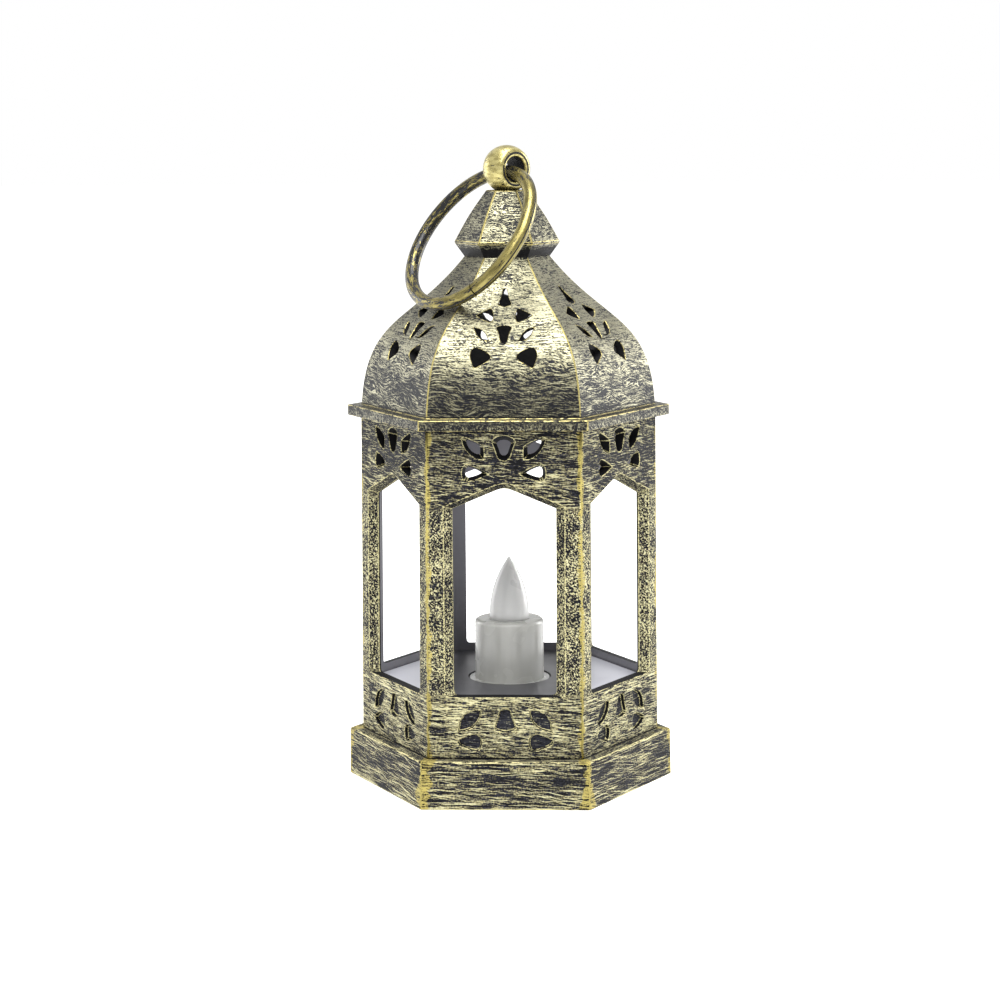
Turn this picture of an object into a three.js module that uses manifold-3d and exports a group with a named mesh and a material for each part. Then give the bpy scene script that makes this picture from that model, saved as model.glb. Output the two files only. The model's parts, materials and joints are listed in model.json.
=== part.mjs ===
// A small hexagonal Moroccan lantern with an LED candle, in millimetres, +Z up.
// It stands on z = 0 around the Z axis, with one panel facing the front (-Y) and corners on +X and -X.
// A corner radius is measured from the axis to a corner of the hexagon.

import * as THREE from 'three';
import { mergeVertices } from 'three/addons/utils/BufferGeometryUtils.js';
import { ConvexGeometry } from 'three/addons/geometries/ConvexGeometry.js';
import Module from 'manifold-3d';

const wasm = await Module();
wasm.setup();

// Clearances
const FIT = 0.3; // gap beside a piece that is seated in another
const PAST = 1; // how far a cutting tool runs past the surface that it opens
const THIRD = (2 * Math.PI) / 3; // three fixings sit a third of a turn apart

// Hexagon
const SIDES = 6;
const TURN = (2 * Math.PI) / SIDES;
const FLAT = Math.cos(Math.PI / SIDES); // a face's distance from the axis, as a share of the corner radius

// Plinth: the foot moulding, open below, with a deck on top
const PLINTH_CORNER = 33;
const PLINTH_DRAFT = 0.2; // how much smaller the corner radius is at the top
const PLINTH_HEIGHT = 9.6;
const PLINTH_WALL = 2;
const PLINTH_EDGE = 0.25; // rounding of the top edge
const DECK_THICK = 1.6;
const RIB_HEIGHT = 2; // upstand that centres the body
const RIB_WALL = 1.2;

// Body: six posts, windows and pierced panels in one moulding
const BODY_SETBACK = 2.56; // corner radius of the plinth's top less that of the body's foot
const BODY_HEIGHT = 64.5;
const BODY_DRAFT = 0.54;
const BODY_WALL = 1.8;
const POST_WIDTH = 5.12; // from a panel's corner to the window's clear opening
const WINDOW_SILL = 12.5; // above the body's foot
const WINDOW_HEADROOM = 11.1; // from the window's point to the body's top
const WINDOW_RISE = 4.2; // height of the pointed head
const WINDOW_POINT = 1.5; // width of the blunted point
const WINDOW_ROUND = 1; // radius of the lower corners
const REVEAL_DEPTH = 1.45; // depth of the sloping reveal
const REVEAL_SIDE = 1.7; // width of the reveal at the posts
const REVEAL_HEAD = 1.1;
const REVEAL_SILL = 0.5;
const UPPER_MOTIF = 5.5; // the upper petals' base line, below the body's top
const LOWER_MOTIF = 5.9; // the lower petals' base line, above the body's foot
const RECESS_DEPTH = 0.8; // the lower petals are blind
const DRAWN_BODY = 30.24; // the petals' figures are given for a body of this corner radius

// Roof: a flange with an ogee dome on it
const FLANGE_OUT = 2.65; // corner radius of the flange less that of the body's top
const FLANGE_THICK = 2.16;
const FLANGE_EDGE = 0.3; // rounding of the flange's edges
const DOME_SETBACK = 2.8; // corner radius of the flange less that of the dome's foot
const DOME_HEIGHT = 29.67;
const DOME_WALL = 1.6;
const DOME_STEPS = 9;
const DRAWN_DOME = [29.55, 29.67]; // the petals' figures are given for this foot corner and height
const NECK_CORNER = 8.54; // where the dome meets the cap
const NECK_COLLAR = 2; // depth of the solid ring round the cap's plug
const SWELL_CORNER = 28.4; // the dome's side is a curve: it leaves the foot towards this point
const SWELL_HEIGHT = 18;
const SHOULDER_CORNER = 19.5; // and comes to the neck from this one
const SHOULDER_HEIGHT = 16.1;
const SPIGOT_DEPTH = 1.2; // rib under the flange that centres the roof in the body
const SPIGOT_WALL = 1;

// Cap: a pyramid whose rim overhangs the neck
const CAP_RIM = 10.52;
const CAP_UNDERCUT = 2.76; // height from the neck to the rim
const CAP_HEIGHT = 10.27; // from the rim to the top
const CAP_TOP = 4.12;
const CAP_EDGE = 0.2; // height of the rim's flat edge
const CAP_WALL = 2.4;
const PLUG_CORNER = 5.6;
const PLUG_DEPTH = 3;

// Hanging eye: a ball with two flats and a bore, its stem in the cap
const EYE_RADIUS = 4.72;
const EYE_SINK = 0.6; // how deep the ball would sit in the cap's top, cut flat there
const EYE_FLATS = 5.7; // across the two flats
const BORE_RADIUS = 2.48;
const BORE_FLARE = 0.35; // rounding of the bore's mouths
const BORE_TURN = 43; // degrees from the front to the bore's mouth on the right
const STEM_RADIUS = 1.8;
const STEM_DEPTH = 4;

// Carry ring: it hangs in the bore and leans on the dome
const RING_RADIUS = 15.5; // to the middle of the ring's wire
const WIRE_RADIUS = 1.34;
const RING_DROP = 0.6; // how far the wire hangs below the bore's middle
const RING_TURN = 39; // degrees from the front to the ring's swing axis
const LEAN_STEPS = 12; // halvings of the search for the lean at which the ring meets the roof
const RING_SPLIT = 0.25; // gap between the ring's two ends
const SPLIT_PLACE = 42; // degrees from the ring's lowest point to the split

// Floor plate, with a hole for the candle and three legs on the deck
const FLOOR_RISE = 10.9; // top of the plate above the deck
const FLOOR_THICK = 1.5;
const FLOOR_GAP = 0.5; // corner radius inside the body less that of the plate
const FLOOR_HOLE = 8.43;
const LEG_RADIUS = 2.2;
const LEG_ROOM = 1.2; // from a leg to the rib behind it, and to the deck's opening

// Candle and flame
const CANDLE_RADIUS = 6.98;
const CANDLE_RISE = 12.05; // top of the candle above the floor plate
const CANDLE_EDGE = 0.8; // rounding of the top edge
const CANDLE_WALL = 1.2;
const SHOULDER_DROP = 0.2; // from the floor plate's top down to the shoulder that fills its hole
const BARREL_RADIUS = 9.6; // wider lower part, held between the floor plate and the board
const FLAME_RADIUS = 4.05;
const FLAME_HEIGHT = 12.8;
const FLAME_WALL = 0.9;
const FLAME_PLUG = 1.6; // depth of the flame's plug in the candle
const FLAME_BELLY = 0.42; // share of the height that the side rises before it turns in
const FLAME_TAPER = [0.62, 0.72]; // shares of the radius and the height from where it heads for the tip
const FLAME_STEPS = 6;
const LED_RADIUS = 1.5;
const LED_HEIGHT = 5.2;
const LED_FLANGE = 1.9;
const LED_SEAT = 0.6; // height of the LED's flange above the candle's top
const LEAD_THICK = 0.5;
const LEAD_PITCH = 1.27; // half of the leads' spacing each way

// Base cover, set in from the rim that the plinth stands on
const COVER_INSET = 1.2;
const COVER_THICK = 1.6;
const WELL_WALL = 2.2; // wall of the coin cell's well
const BOSS_RADIUS = 2.6;
const BOSS_ROOM = 1.4; // from a boss of the cover's screws to the plinth's wall

// Coin cell of the common 20 x 3.2 mm size, and its contacts
const CELL_RADIUS = 10;
const CELL_THICK = 3.2;
const CELL_ROOM = 1; // gap round the cell, where the plus contact stands
const CELL_HEADROOM = 1.7; // height between the cell and the board, for the spring
const STRIP_THICK = 0.3;
const STRIP_WIDTH = 3;
const SPRING_REACH = 7;

// Battery door in the base cover
const DOOR_LIP = 1.6; // how far the door's plate reaches past its plug
const DOOR_PLATE = 0.6;
const DOOR_PLUG = 0.9; // height of the plug in the opening
const EAR_PLACE = 15.6; // distance of the door's screw from the axis
const EAR_RADIUS = 2.6;

// Circuit board
const BOARD_ROOM = 1.4; // gap between the board and the deck's opening
const BOARD_THICK = 1;
const BOARD_EDGE = 2; // from the middle of a fixing to the board's edge
const BOARD_BOSS = 1.8;
const CHIP = [3, 4.4, 1.3];
const CHIP_ROOM = 1.5; // gap between the chip and the candle's barrel

// Slide switch
const SWITCH_ROOM = 0.8; // gap between the switch and the cell's well
const SWITCH_CASE = [3.6, 8.6, 3.5];
const SWITCH_TRAVEL = 2;
const KNOB = [2, 2.6];
const KNOB_PROUD = 0.6; // how far the knob stands out below the cover
const PIN_THICK = 0.6;

// Screws: small pan heads
const SCREW_RADIUS = 1;
const HEAD_RADIUS = 1.9;
const HEAD_HEIGHT = 1;
const SCREW_LENGTH = 5;
const SMALL_SCREW_RADIUS = 0.8;
const SMALL_HEAD_RADIUS = 1.4;
const SMALL_HEAD_HEIGHT = 0.6;
const SMALL_SCREW_LENGTH = 3;
const HEAD_FACE = 0.8; // the head's face, as a share of its radius
const SLOT_WIDTH = 0.25; // the driver slot's width, as a share of the head's radius

// Facets of round pieces
const ROUND = 24;
const SMALL_ROUND = 10;
const WIRE_FACETS = 8;
const RING_FACETS = 48;
const CURVE_FACETS = 4; // along each curve of a petal or a window's corner
const ROUNDING_STEPS = 3; // along a rounded edge

// Levels, from the table up
const coverTop = COVER_INSET + COVER_THICK;
const cellFoot = coverTop + FIT;
const cellTop = cellFoot + CELL_THICK;
const boardFoot = cellTop + CELL_HEADROOM;
const boardTop = boardFoot + BOARD_THICK;
const deckTop = PLINTH_HEIGHT;
const deckFoot = deckTop - DECK_THICK;
const floorTop = deckTop + FLOOR_RISE;
const floorFoot = floorTop - FLOOR_THICK;
const candleTop = floorTop + CANDLE_RISE;
const bodyTop = deckTop + BODY_HEIGHT;
const flangeTop = bodyTop + FLANGE_THICK;
const neck = flangeTop + DOME_HEIGHT;
const capRim = neck + CAP_UNDERCUT;
const capTop = capRim + CAP_HEIGHT;
const eyeMiddle = capTop + EYE_RADIUS - EYE_SINK;

// Corner radii that follow from the sizes above
const bodyFootCorner = PLINTH_CORNER - PLINTH_DRAFT - BODY_SETBACK;
const bodyTopCorner = bodyFootCorner - BODY_DRAFT;
const flangeCorner = bodyTopCorner + FLANGE_OUT;
const domeFootCorner = flangeCorner - DOME_SETBACK;
const panelTilt = Math.atan((BODY_DRAFT * FLAT) / BODY_HEIGHT);
const windowHalf = bodyFootCorner / 2 - POST_WIDTH;
const windowPoint = BODY_HEIGHT - WINDOW_HEADROOM;
const wellRadius = CELL_RADIUS + CELL_ROOM;

// Places in the foot, from the outside in
const ribCorner = bodyFootCorner - (BODY_WALL + FIT) / FLAT;
const ribInside = ribCorner - RIB_WALL / FLAT;
const fixingPlace = PLINTH_CORNER - (PLINTH_WALL + BOSS_ROOM + BOSS_RADIUS) / FLAT;
const legPlace = ribInside - LEG_ROOM - LEG_RADIUS;
const deckHole = legPlace - LEG_RADIUS - LEG_ROOM;
const boardRadius = deckHole - BOARD_ROOM;
const boardFixing = boardRadius - BOARD_EDGE;
const chipPlace = BARREL_RADIUS + CHIP_ROOM + CHIP[0] / 2;
const switchPlace = wellRadius + WELL_WALL + SWITCH_ROOM + SWITCH_CASE[0] / 2;

function plinthCorner(z) {
  return PLINTH_CORNER - (PLINTH_DRAFT * z) / PLINTH_HEIGHT;
}

function bodyCorner(z) {
  return bodyFootCorner - (BODY_DRAFT * (z - deckTop)) / BODY_HEIGHT;
}

function bodyInside(z) {
  return bodyCorner(z) - BODY_WALL / FLAT;
}

// Solids and booleans

// Turns a closed three.js geometry into a solid: shared vertices are merged and empty triangles left out.
function solid(geometry) {
  const bare = geometry.clone();
  bare.deleteAttribute('normal');
  bare.deleteAttribute('uv');
  const merged = mergeVertices(bare, 1e-5);
  const index = Array.from(merged.index.array);
  const triangles = [];
  for (let i = 0; i < index.length; i += 3) {
    const [a, b, c] = index.slice(i, i + 3);
    if (a !== b && b !== c && c !== a) triangles.push(a, b, c);
  }
  return new wasm.Manifold(new wasm.Mesh({
    numProp: 3,
    vertProperties: new Float32Array(merged.attributes.position.array),
    triVerts: new Uint32Array(triangles),
  }));
}

function geometryOf(body) {
  const mesh = body.getMesh();
  const geometry = new THREE.BufferGeometry();
  geometry.setAttribute('position', new THREE.BufferAttribute(mesh.vertProperties, 3));
  geometry.setIndex(new THREE.BufferAttribute(mesh.triVerts, 1));
  return geometry;
}

function join(...geometries) {
  return geometryOf(geometries.map(solid).reduce((sum, next) => sum.add(next)));
}

function cut(geometry, tools) {
  return geometryOf(tools.map(solid).reduce((rest, tool) => rest.subtract(tool), solid(geometry)));
}

// Revolves a closed outline of [radius, z] points, drawn up the outside and down the inside.
function lathe(outline, sides, start) {
  const points = outline.map(([r, z]) => new THREE.Vector2(r, z));
  points.push(points[0].clone());
  return new THREE.LatheGeometry(points, sides, start).rotateX(Math.PI / 2);
}

function hexLathe(outline) {
  return lathe(outline, SIDES, TURN / 2);
}

function roundLathe(outline, sides = ROUND) {
  return lathe(outline, sides, 0);
}

function rod(radius, z0, z1, sides = SMALL_ROUND) {
  return roundLathe([[0, z0], [radius, z0], [radius, z1], [0, z1]], sides);
}

function tube(outer, inner, z0, z1, sides = ROUND) {
  return roundLathe([[inner, z0], [outer, z0], [outer, z1], [inner, z1]], sides);
}

function box([x0, y0, z0], [x1, y1, z1]) {
  const geometry = new THREE.BoxGeometry(x1 - x0, y1 - y0, z1 - z0);
  return geometry.translate((x0 + x1) / 2, (y0 + y1) / 2, (z0 + z1) / 2);
}

// The same geometry moved out from the axis, in the direction of an angle from +X.
function atPlace(geometry, distance, angle) {
  return geometry.clone().translate(distance * Math.cos(angle), distance * Math.sin(angle), 0);
}

// Extrudes a shape drawn as [across, up] so that it spans from one depth to another, outwards to -Y.
function sheetCutter(shape, inner, outer) {
  const settings = { depth: outer - inner, bevelEnabled: false, curveSegments: CURVE_FACETS };
  return new THREE.ExtrudeGeometry(shape, settings).rotateX(Math.PI / 2).translate(0, -inner, 0);
}

// Places what was drawn on a flat sheet onto one of the body's six panels, along their draft.
function onBodyPanel(geometry, k) {
  return geometry.clone()
    .rotateX(-panelTilt)
    .translate(0, -bodyFootCorner * FLAT, deckTop)
    .rotateZ(k * TURN);
}

const panels = Array.from({ length: SIDES }, (_, k) => k);

// Petal motifs

// A petal runs from one end to the other. The four widths say how full its left and right sides are
// at the first and the second end.
function petal([u0, v0], [u1, v1], leftNear, leftFar, rightNear, rightFar) {
  const length = Math.hypot(u1 - u0, v1 - v0);
  const [tu, tv] = [(u1 - u0) / length, (v1 - v0) / length];
  const side = (u, v, w) => [u - tv * w, v + tu * w];
  const shape = new THREE.Shape();
  shape.moveTo(u0, v0);
  shape.bezierCurveTo(...side(u0, v0, leftNear), ...side(u1, v1, leftFar), u1, v1);
  shape.bezierCurveTo(...side(u1, v1, -rightFar), ...side(u0, v0, -rightNear), u0, v0);
  return shape;
}

// The same petal on the other half of the panel.
function mirrored([u0, v0], [u1, v1], leftNear, leftFar, rightNear, rightFar) {
  return petal([-u0, v0], [-u1, v1], rightNear, rightFar, leftNear, leftFar);
}

function motif(middle, sides) {
  return [
    ...middle.map((p) => petal(...p)),
    ...sides.map((p) => petal(...p)),
    ...sides.map((p) => mirrored(...p)),
  ];
}

// Tulip of three petals over two drops, each given from its base line.
const upperPetals = motif(
  [[[0, 0], [0, 4.1], 1.2, 3.5, 1.2, 3.5]],
  [
    [[-8, 4.05], [-4, -0.05], 2, 2, 1.4, 1.4],
    [[-3.35, -2.9], [-7.9, -2.7], 0.4, 1.9, 0.9, 2.6],
  ],
);

const lowerPetals = motif(
  [[[0, 4.35], [0, 0], 1.1, 3.3, 1.1, 3.3]],
  [
    [[-9.1, 0.05], [-4.9, 4.2], 1.85, 1.85, 1.3, 1.3],
    [[-9.4, -2.1], [-4.75, -2.2], 0.7, 2.6, 0.6, 2.5],
  ],
);

// Eight petals on each panel of the dome, given by their heights above its foot.
const domePetals = motif(
  [
    [[0, 24.1], [0, 20.75], 0.8, 2.4, 0.8, 2.4],
    [[0, 14.2], [0, 17.4], 0.8, 2.7, 0.8, 2.7],
  ],
  [
    [[-5.75, 19], [-2.15, 18.95], 0.6, 2, 0.6, 2],
    [[-5.95, 17.15], [-2.85, 14.65], 1, 1, 0.95, 0.95],
    [[-2.5, 11.75], [-6.3, 11.35], 1.1, 2.7, 1, 2.2],
  ],
);

// Fixings, as angles from +X: the cover's screws stand under three corners, the floor plate's legs
// under the other three
const coverFixings = [0, 1, 2].map((i) => i * THIRD);
const legFixings = coverFixings.map((angle) => angle + Math.PI);
const boardFixings = [THIRD / 2, -THIRD / 2];

// Plinth

function boss(radius, hole, z0, z1) {
  return tube(radius, hole, z0, z1, SMALL_ROUND);
}

function plinth() {
  const inside = (z) => plinthCorner(z) - PLINTH_WALL / FLAT;
  const shell = hexLathe([
    [inside(0), 0],
    [plinthCorner(0), 0],
    [plinthCorner(deckTop), deckTop - PLINTH_EDGE],
    [plinthCorner(deckTop) - PLINTH_EDGE, deckTop],
    [ribCorner, deckTop],
    [ribCorner, deckTop + RIB_HEIGHT],
    [ribInside, deckTop + RIB_HEIGHT],
    [ribInside, deckTop],
    [0, deckTop],
    [0, deckFoot],
    [inside(deckFoot), deckFoot],
  ]);
  const bosses = coverFixings.map((angle) => atPlace(
    boss(BOSS_RADIUS, SCREW_RADIUS + FIT, coverTop, deckFoot + DECK_THICK / 2), fixingPlace, angle,
  ));
  const legHoles = legFixings.map((angle) => atPlace(
    rod(SCREW_RADIUS + FIT, deckFoot - PAST, deckTop + PAST), legPlace, angle,
  ));
  const opening = rod(deckHole, deckFoot - PAST, deckTop + PAST, ROUND);
  return cut(join(shell, ...bosses), [opening, ...legHoles]);
}

// Body

// The window's outline, widened by the reveal at its sides, head and sill.
function windowOutline(side, head, sill) {
  const half = windowHalf + side;
  const foot = WINDOW_SILL - sill;
  const shoulder = windowPoint - WINDOW_RISE + head / 2;
  const point = windowPoint + head;
  const shape = new THREE.Shape();
  shape.moveTo(-half, foot + WINDOW_ROUND);
  shape.quadraticCurveTo(-half, foot, -half + WINDOW_ROUND, foot);
  shape.lineTo(half - WINDOW_ROUND, foot);
  shape.quadraticCurveTo(half, foot, half, foot + WINDOW_ROUND);
  shape.lineTo(half, shoulder);
  shape.lineTo(WINDOW_POINT, point - WINDOW_RISE * (WINDOW_POINT / half));
  shape.quadraticCurveTo(0, point, -WINDOW_POINT, point - WINDOW_RISE * (WINDOW_POINT / half));
  shape.lineTo(-half, shoulder);
  return shape;
}

// The reveal narrows from the panel's face to the window's clear outline.
function reveal() {
  const reach = 1 + FIT / REVEAL_DEPTH; // the same slope, carried on a little in front of the face
  const clear = windowOutline(0, 0, 0);
  const wide = windowOutline(REVEAL_SIDE * reach, REVEAL_HEAD * reach, REVEAL_SILL * reach);
  const atDepth = (shape, depth) => shape.getPoints(CURVE_FACETS)
    .map((p) => new THREE.Vector3(p.x, depth, p.y));
  return new ConvexGeometry([...atDepth(clear, REVEAL_DEPTH), ...atDepth(wide, -FIT)]);
}

function lanternBody() {
  const shell = hexLathe([
    [bodyInside(deckTop), deckTop],
    [bodyCorner(deckTop), deckTop],
    [bodyCorner(bodyTop), bodyTop],
    [bodyInside(bodyTop), bodyTop],
  ]);
  const through = BODY_WALL + PAST;
  const width = bodyFootCorner / DRAWN_BODY;
  const window = sheetCutter(windowOutline(0, 0, 0), -through, PAST);
  const cutter = (shape, depth, v) => sheetCutter(shape, -depth, PAST).scale(width, 1, 1).translate(0, 0, v);
  const upper = upperPetals.map((shape) => cutter(shape, through, BODY_HEIGHT - UPPER_MOTIF));
  const lower = lowerPetals.map((shape) => cutter(shape, RECESS_DEPTH, LOWER_MOTIF));
  const openings = [window, reveal(), ...upper, ...lower];
  return cut(shell, panels.flatMap((k) => openings.map((tool) => onBodyPanel(tool, k))));
}

// Roof

// The dome's side from foot to neck, as [corner radius, z] points, set in by a wall.
function domeSide(setIn) {
  const curve = new THREE.CubicBezierCurve(
    new THREE.Vector2(domeFootCorner, flangeTop),
    new THREE.Vector2(SWELL_CORNER, flangeTop + SWELL_HEIGHT),
    new THREE.Vector2(SHOULDER_CORNER, flangeTop + SHOULDER_HEIGHT),
    new THREE.Vector2(NECK_CORNER, neck),
  );
  return Array.from({ length: DOME_STEPS + 1 }, (_, i) => {
    const t = i / DOME_STEPS;
    const p = curve.getPoint(t);
    const along = curve.getTangent(t);
    return [p.x - along.y * setIn, p.y + along.x * setIn];
  });
}

function roof() {
  const spigotOuter = bodyInside(bodyTop) - FIT / FLAT;
  const spigotInner = spigotOuter - SPIGOT_WALL / FLAT;
  const plugHole = PLUG_CORNER + FIT / FLAT;
  const inner = domeSide(DOME_WALL / FLAT)
    .filter(([r, z]) => z > flangeTop && z < neck - NECK_COLLAR && r > plugHole);
  const shell = hexLathe([
    [spigotInner, bodyTop - SPIGOT_DEPTH],
    [spigotOuter, bodyTop - SPIGOT_DEPTH],
    [spigotOuter, bodyTop],
    [flangeCorner - FLANGE_EDGE, bodyTop],
    [flangeCorner, bodyTop + FLANGE_EDGE],
    [flangeCorner, flangeTop - FLANGE_EDGE],
    [flangeCorner - FLANGE_EDGE, flangeTop],
    ...domeSide(0),
    [plugHole, neck],
    [plugHole, neck - NECK_COLLAR],
    ...inner.reverse(),
    [spigotInner, flangeTop],
  ]);
  const past = domeFootCorner * FLAT + PAST;
  const [width, height] = [domeFootCorner / DRAWN_DOME[0], DOME_HEIGHT / DRAWN_DOME[1]];
  const tools = domePetals.map((shape) => sheetCutter(shape, PLUG_CORNER, past)
    .scale(width, 1, height)
    .translate(0, 0, flangeTop));
  return cut(shell, panels.flatMap((k) => tools.map((tool) => tool.clone().rotateZ(k * TURN))));
}

function roofCap() {
  const core = PLUG_CORNER - CAP_WALL / FLAT;
  const foot = neck - PLUG_DEPTH;
  const outer = hexLathe([
    [0, foot],
    [PLUG_CORNER, foot],
    [PLUG_CORNER, neck],
    [NECK_CORNER, neck],
    [CAP_RIM, capRim],
    [CAP_RIM, capRim + CAP_EDGE],
    [CAP_TOP, capTop],
    [0, capTop],
  ]);
  const hollow = hexLathe([[0, foot - PAST], [core, foot - PAST], [core, capRim], [0, capRim]]);
  const stemHole = rod(STEM_RADIUS + FIT, capTop - STEM_DEPTH - FIT, capTop + PAST);
  return cut(outer, [hollow, stemHole]);
}

// Hanging eye and carry ring

const BORE_ANGLE = THREE.MathUtils.degToRad(BORE_TURN - 90);
const RING_ANGLE = THREE.MathUtils.degToRad(RING_TURN - 90);

function hangingEye() {
  const ball = new THREE.SphereGeometry(EYE_RADIUS, ROUND, ROUND / 2).rotateX(Math.PI / 2);
  const stem = rod(STEM_RADIUS, capTop - STEM_DEPTH - eyeMiddle, -EYE_RADIUS / 2);
  const half = EYE_FLATS / 2;
  const far = 2 * EYE_RADIUS;
  const flats = [box([half, -far, -far], [far, far, far]), box([-far, -far, -far], [-half, far, far])];
  const under = tube(far, STEM_RADIUS, -far, EYE_SINK - EYE_RADIUS);
  const bore = roundLathe([
    [0, -half - PAST],
    [BORE_RADIUS + BORE_FLARE + PAST, -half - PAST],
    [BORE_RADIUS, -half + BORE_FLARE],
    [BORE_RADIUS, half - BORE_FLARE],
    [BORE_RADIUS + BORE_FLARE + PAST, half + PAST],
    [0, half + PAST],
  ]).rotateY(Math.PI / 2);
  const eye = cut(join(ball, stem), [...flats, under, bore]);
  return eye.rotateZ(BORE_ANGLE).translate(0, 0, eyeMiddle);
}

// The ring is drawn level, hanging point at the origin, then leaned down about its swing axis.
function ringAt(lean) {
  const ring = new THREE.TorusGeometry(RING_RADIUS, WIRE_RADIUS, WIRE_FACETS, RING_FACETS);
  const slit = box(
    [-RING_SPLIT / 2, RING_RADIUS - 2 * WIRE_RADIUS, -2 * WIRE_RADIUS],
    [RING_SPLIT / 2, RING_RADIUS + 2 * WIRE_RADIUS, 2 * WIRE_RADIUS],
  );
  slit.rotateZ(Math.PI + THREE.MathUtils.degToRad(SPLIT_PLACE));
  return cut(ring, [slit])
    .translate(0, -RING_RADIUS, 0)
    .rotateX(THREE.MathUtils.degToRad(lean))
    .rotateZ(RING_ANGLE)
    .translate(0, 0, eyeMiddle - RING_DROP);
}

// It rests where it meets the roof: the steepest lean, in degrees below level, that leaves a gap.
function carryRing(roofBody, capBody) {
  const below = solid(roofBody).add(solid(capBody));
  let free = 0;
  let blocked = 90;
  for (let step = 0; step < LEAN_STEPS; step++) {
    const lean = (free + blocked) / 2;
    if (below.minGap(solid(ringAt(lean)), PAST) > FIT) free = lean;
    else blocked = lean;
  }
  return ringAt(free);
}

// Floor plate

function floorPlate() {
  const corner = bodyInside(floorTop) - FLOOR_GAP;
  const plate = hexLathe([[0, floorFoot], [corner, floorFoot], [corner, floorTop], [0, floorTop]]);
  const leg = rod(LEG_RADIUS, deckTop, floorTop - FLOOR_THICK / 2);
  const legs = legFixings.map((angle) => atPlace(leg, legPlace, angle));
  const pilot = rod(SCREW_RADIUS + FIT, deckTop - PAST, deckFoot + SCREW_LENGTH + FIT);
  const pilots = legFixings.map((angle) => atPlace(pilot, legPlace, angle));
  const hole = rod(FLOOR_HOLE, floorFoot - PAST, floorTop + PAST, ROUND);
  return cut(join(plate, ...legs), [hole, ...pilots]);
}

// Candle, flame and LED

// A quarter round that turns from an upright side to a flat top, as [radius, z] points.
function quarter(side, top, radius) {
  return Array.from({ length: ROUNDING_STEPS + 1 }, (_, i) => {
    const a = (i / ROUNDING_STEPS) * (Math.PI / 2);
    return [side - radius * (1 - Math.cos(a)), top - radius * (1 - Math.sin(a))];
  });
}

function candleShell() {
  const inner = CANDLE_RADIUS - CANDLE_WALL;
  const plugHole = FLAME_RADIUS - FLAME_WALL / 2 + FIT;
  const shoulder = FLOOR_HOLE - FIT;
  return roundLathe([
    [BARREL_RADIUS - CANDLE_WALL, boardTop],
    [BARREL_RADIUS, boardTop],
    [BARREL_RADIUS, floorFoot],
    [shoulder, floorFoot],
    [shoulder, floorTop - SHOULDER_DROP],
    [CANDLE_RADIUS, floorTop - SHOULDER_DROP],
    ...quarter(CANDLE_RADIUS, candleTop, CANDLE_EDGE),
    [plugHole, candleTop],
    [plugHole, candleTop - CANDLE_WALL],
    [inner, candleTop - CANDLE_WALL],
    [inner, floorFoot - CANDLE_WALL],
    [BARREL_RADIUS - CANDLE_WALL, floorFoot - CANDLE_WALL],
  ]);
}

// The flame's side leaves the candle nearly upright and closes in a long point.
function flameSide(radius, height, steps) {
  const curve = new THREE.CubicBezierCurve(
    new THREE.Vector2(radius, 0),
    new THREE.Vector2(radius, height * FLAME_BELLY),
    new THREE.Vector2(radius * FLAME_TAPER[0], height * FLAME_TAPER[1]),
    new THREE.Vector2(0, height),
  );
  return curve.getPoints(steps).map((p) => [p.x, candleTop + p.y]);
}

function candleFlame() {
  const plugRadius = FLAME_RADIUS - FLAME_WALL / 2;
  const plugFoot = candleTop - FLAME_PLUG;
  const inner = flameSide(FLAME_RADIUS - FLAME_WALL, FLAME_HEIGHT - 2 * FLAME_WALL, FLAME_STEPS);
  return roundLathe([
    [FLAME_RADIUS - FLAME_WALL, plugFoot],
    [plugRadius, plugFoot],
    [plugRadius, candleTop],
    ...flameSide(FLAME_RADIUS, FLAME_HEIGHT, FLAME_STEPS),
    ...inner.reverse(),
  ]);
}

const ledFoot = candleTop + LED_SEAT;

function led() {
  return roundLathe([
    [0, ledFoot],
    [LED_FLANGE, ledFoot],
    [LED_FLANGE, ledFoot + LED_FLANGE / 2],
    [LED_RADIUS, ledFoot + LED_FLANGE / 2],
    ...quarter(LED_RADIUS, ledFoot + LED_HEIGHT, LED_RADIUS),
  ], SMALL_ROUND);
}

function ledLead(side) {
  const half = LEAD_THICK / 2;
  return box([side * LEAD_PITCH - half, -half, boardTop], [side * LEAD_PITCH + half, half, ledFoot]);
}

// Base cover, battery door and screws

// The door's outline: a disc with an ear for its screw, towards -Y.
function doorDisc(radius, earRadius, z0, z1) {
  return join(
    rod(radius, z0, z1, ROUND),
    rod(earRadius, z0, z1).translate(0, -EAR_PLACE, 0),
    box([-earRadius, -EAR_PLACE, z0], [earRadius, 0, z1]),
  );
}

const doorPlateTop = COVER_INSET + DOOR_PLATE;
const doorScrewTip = COVER_INSET + SMALL_SCREW_LENGTH;

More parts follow.
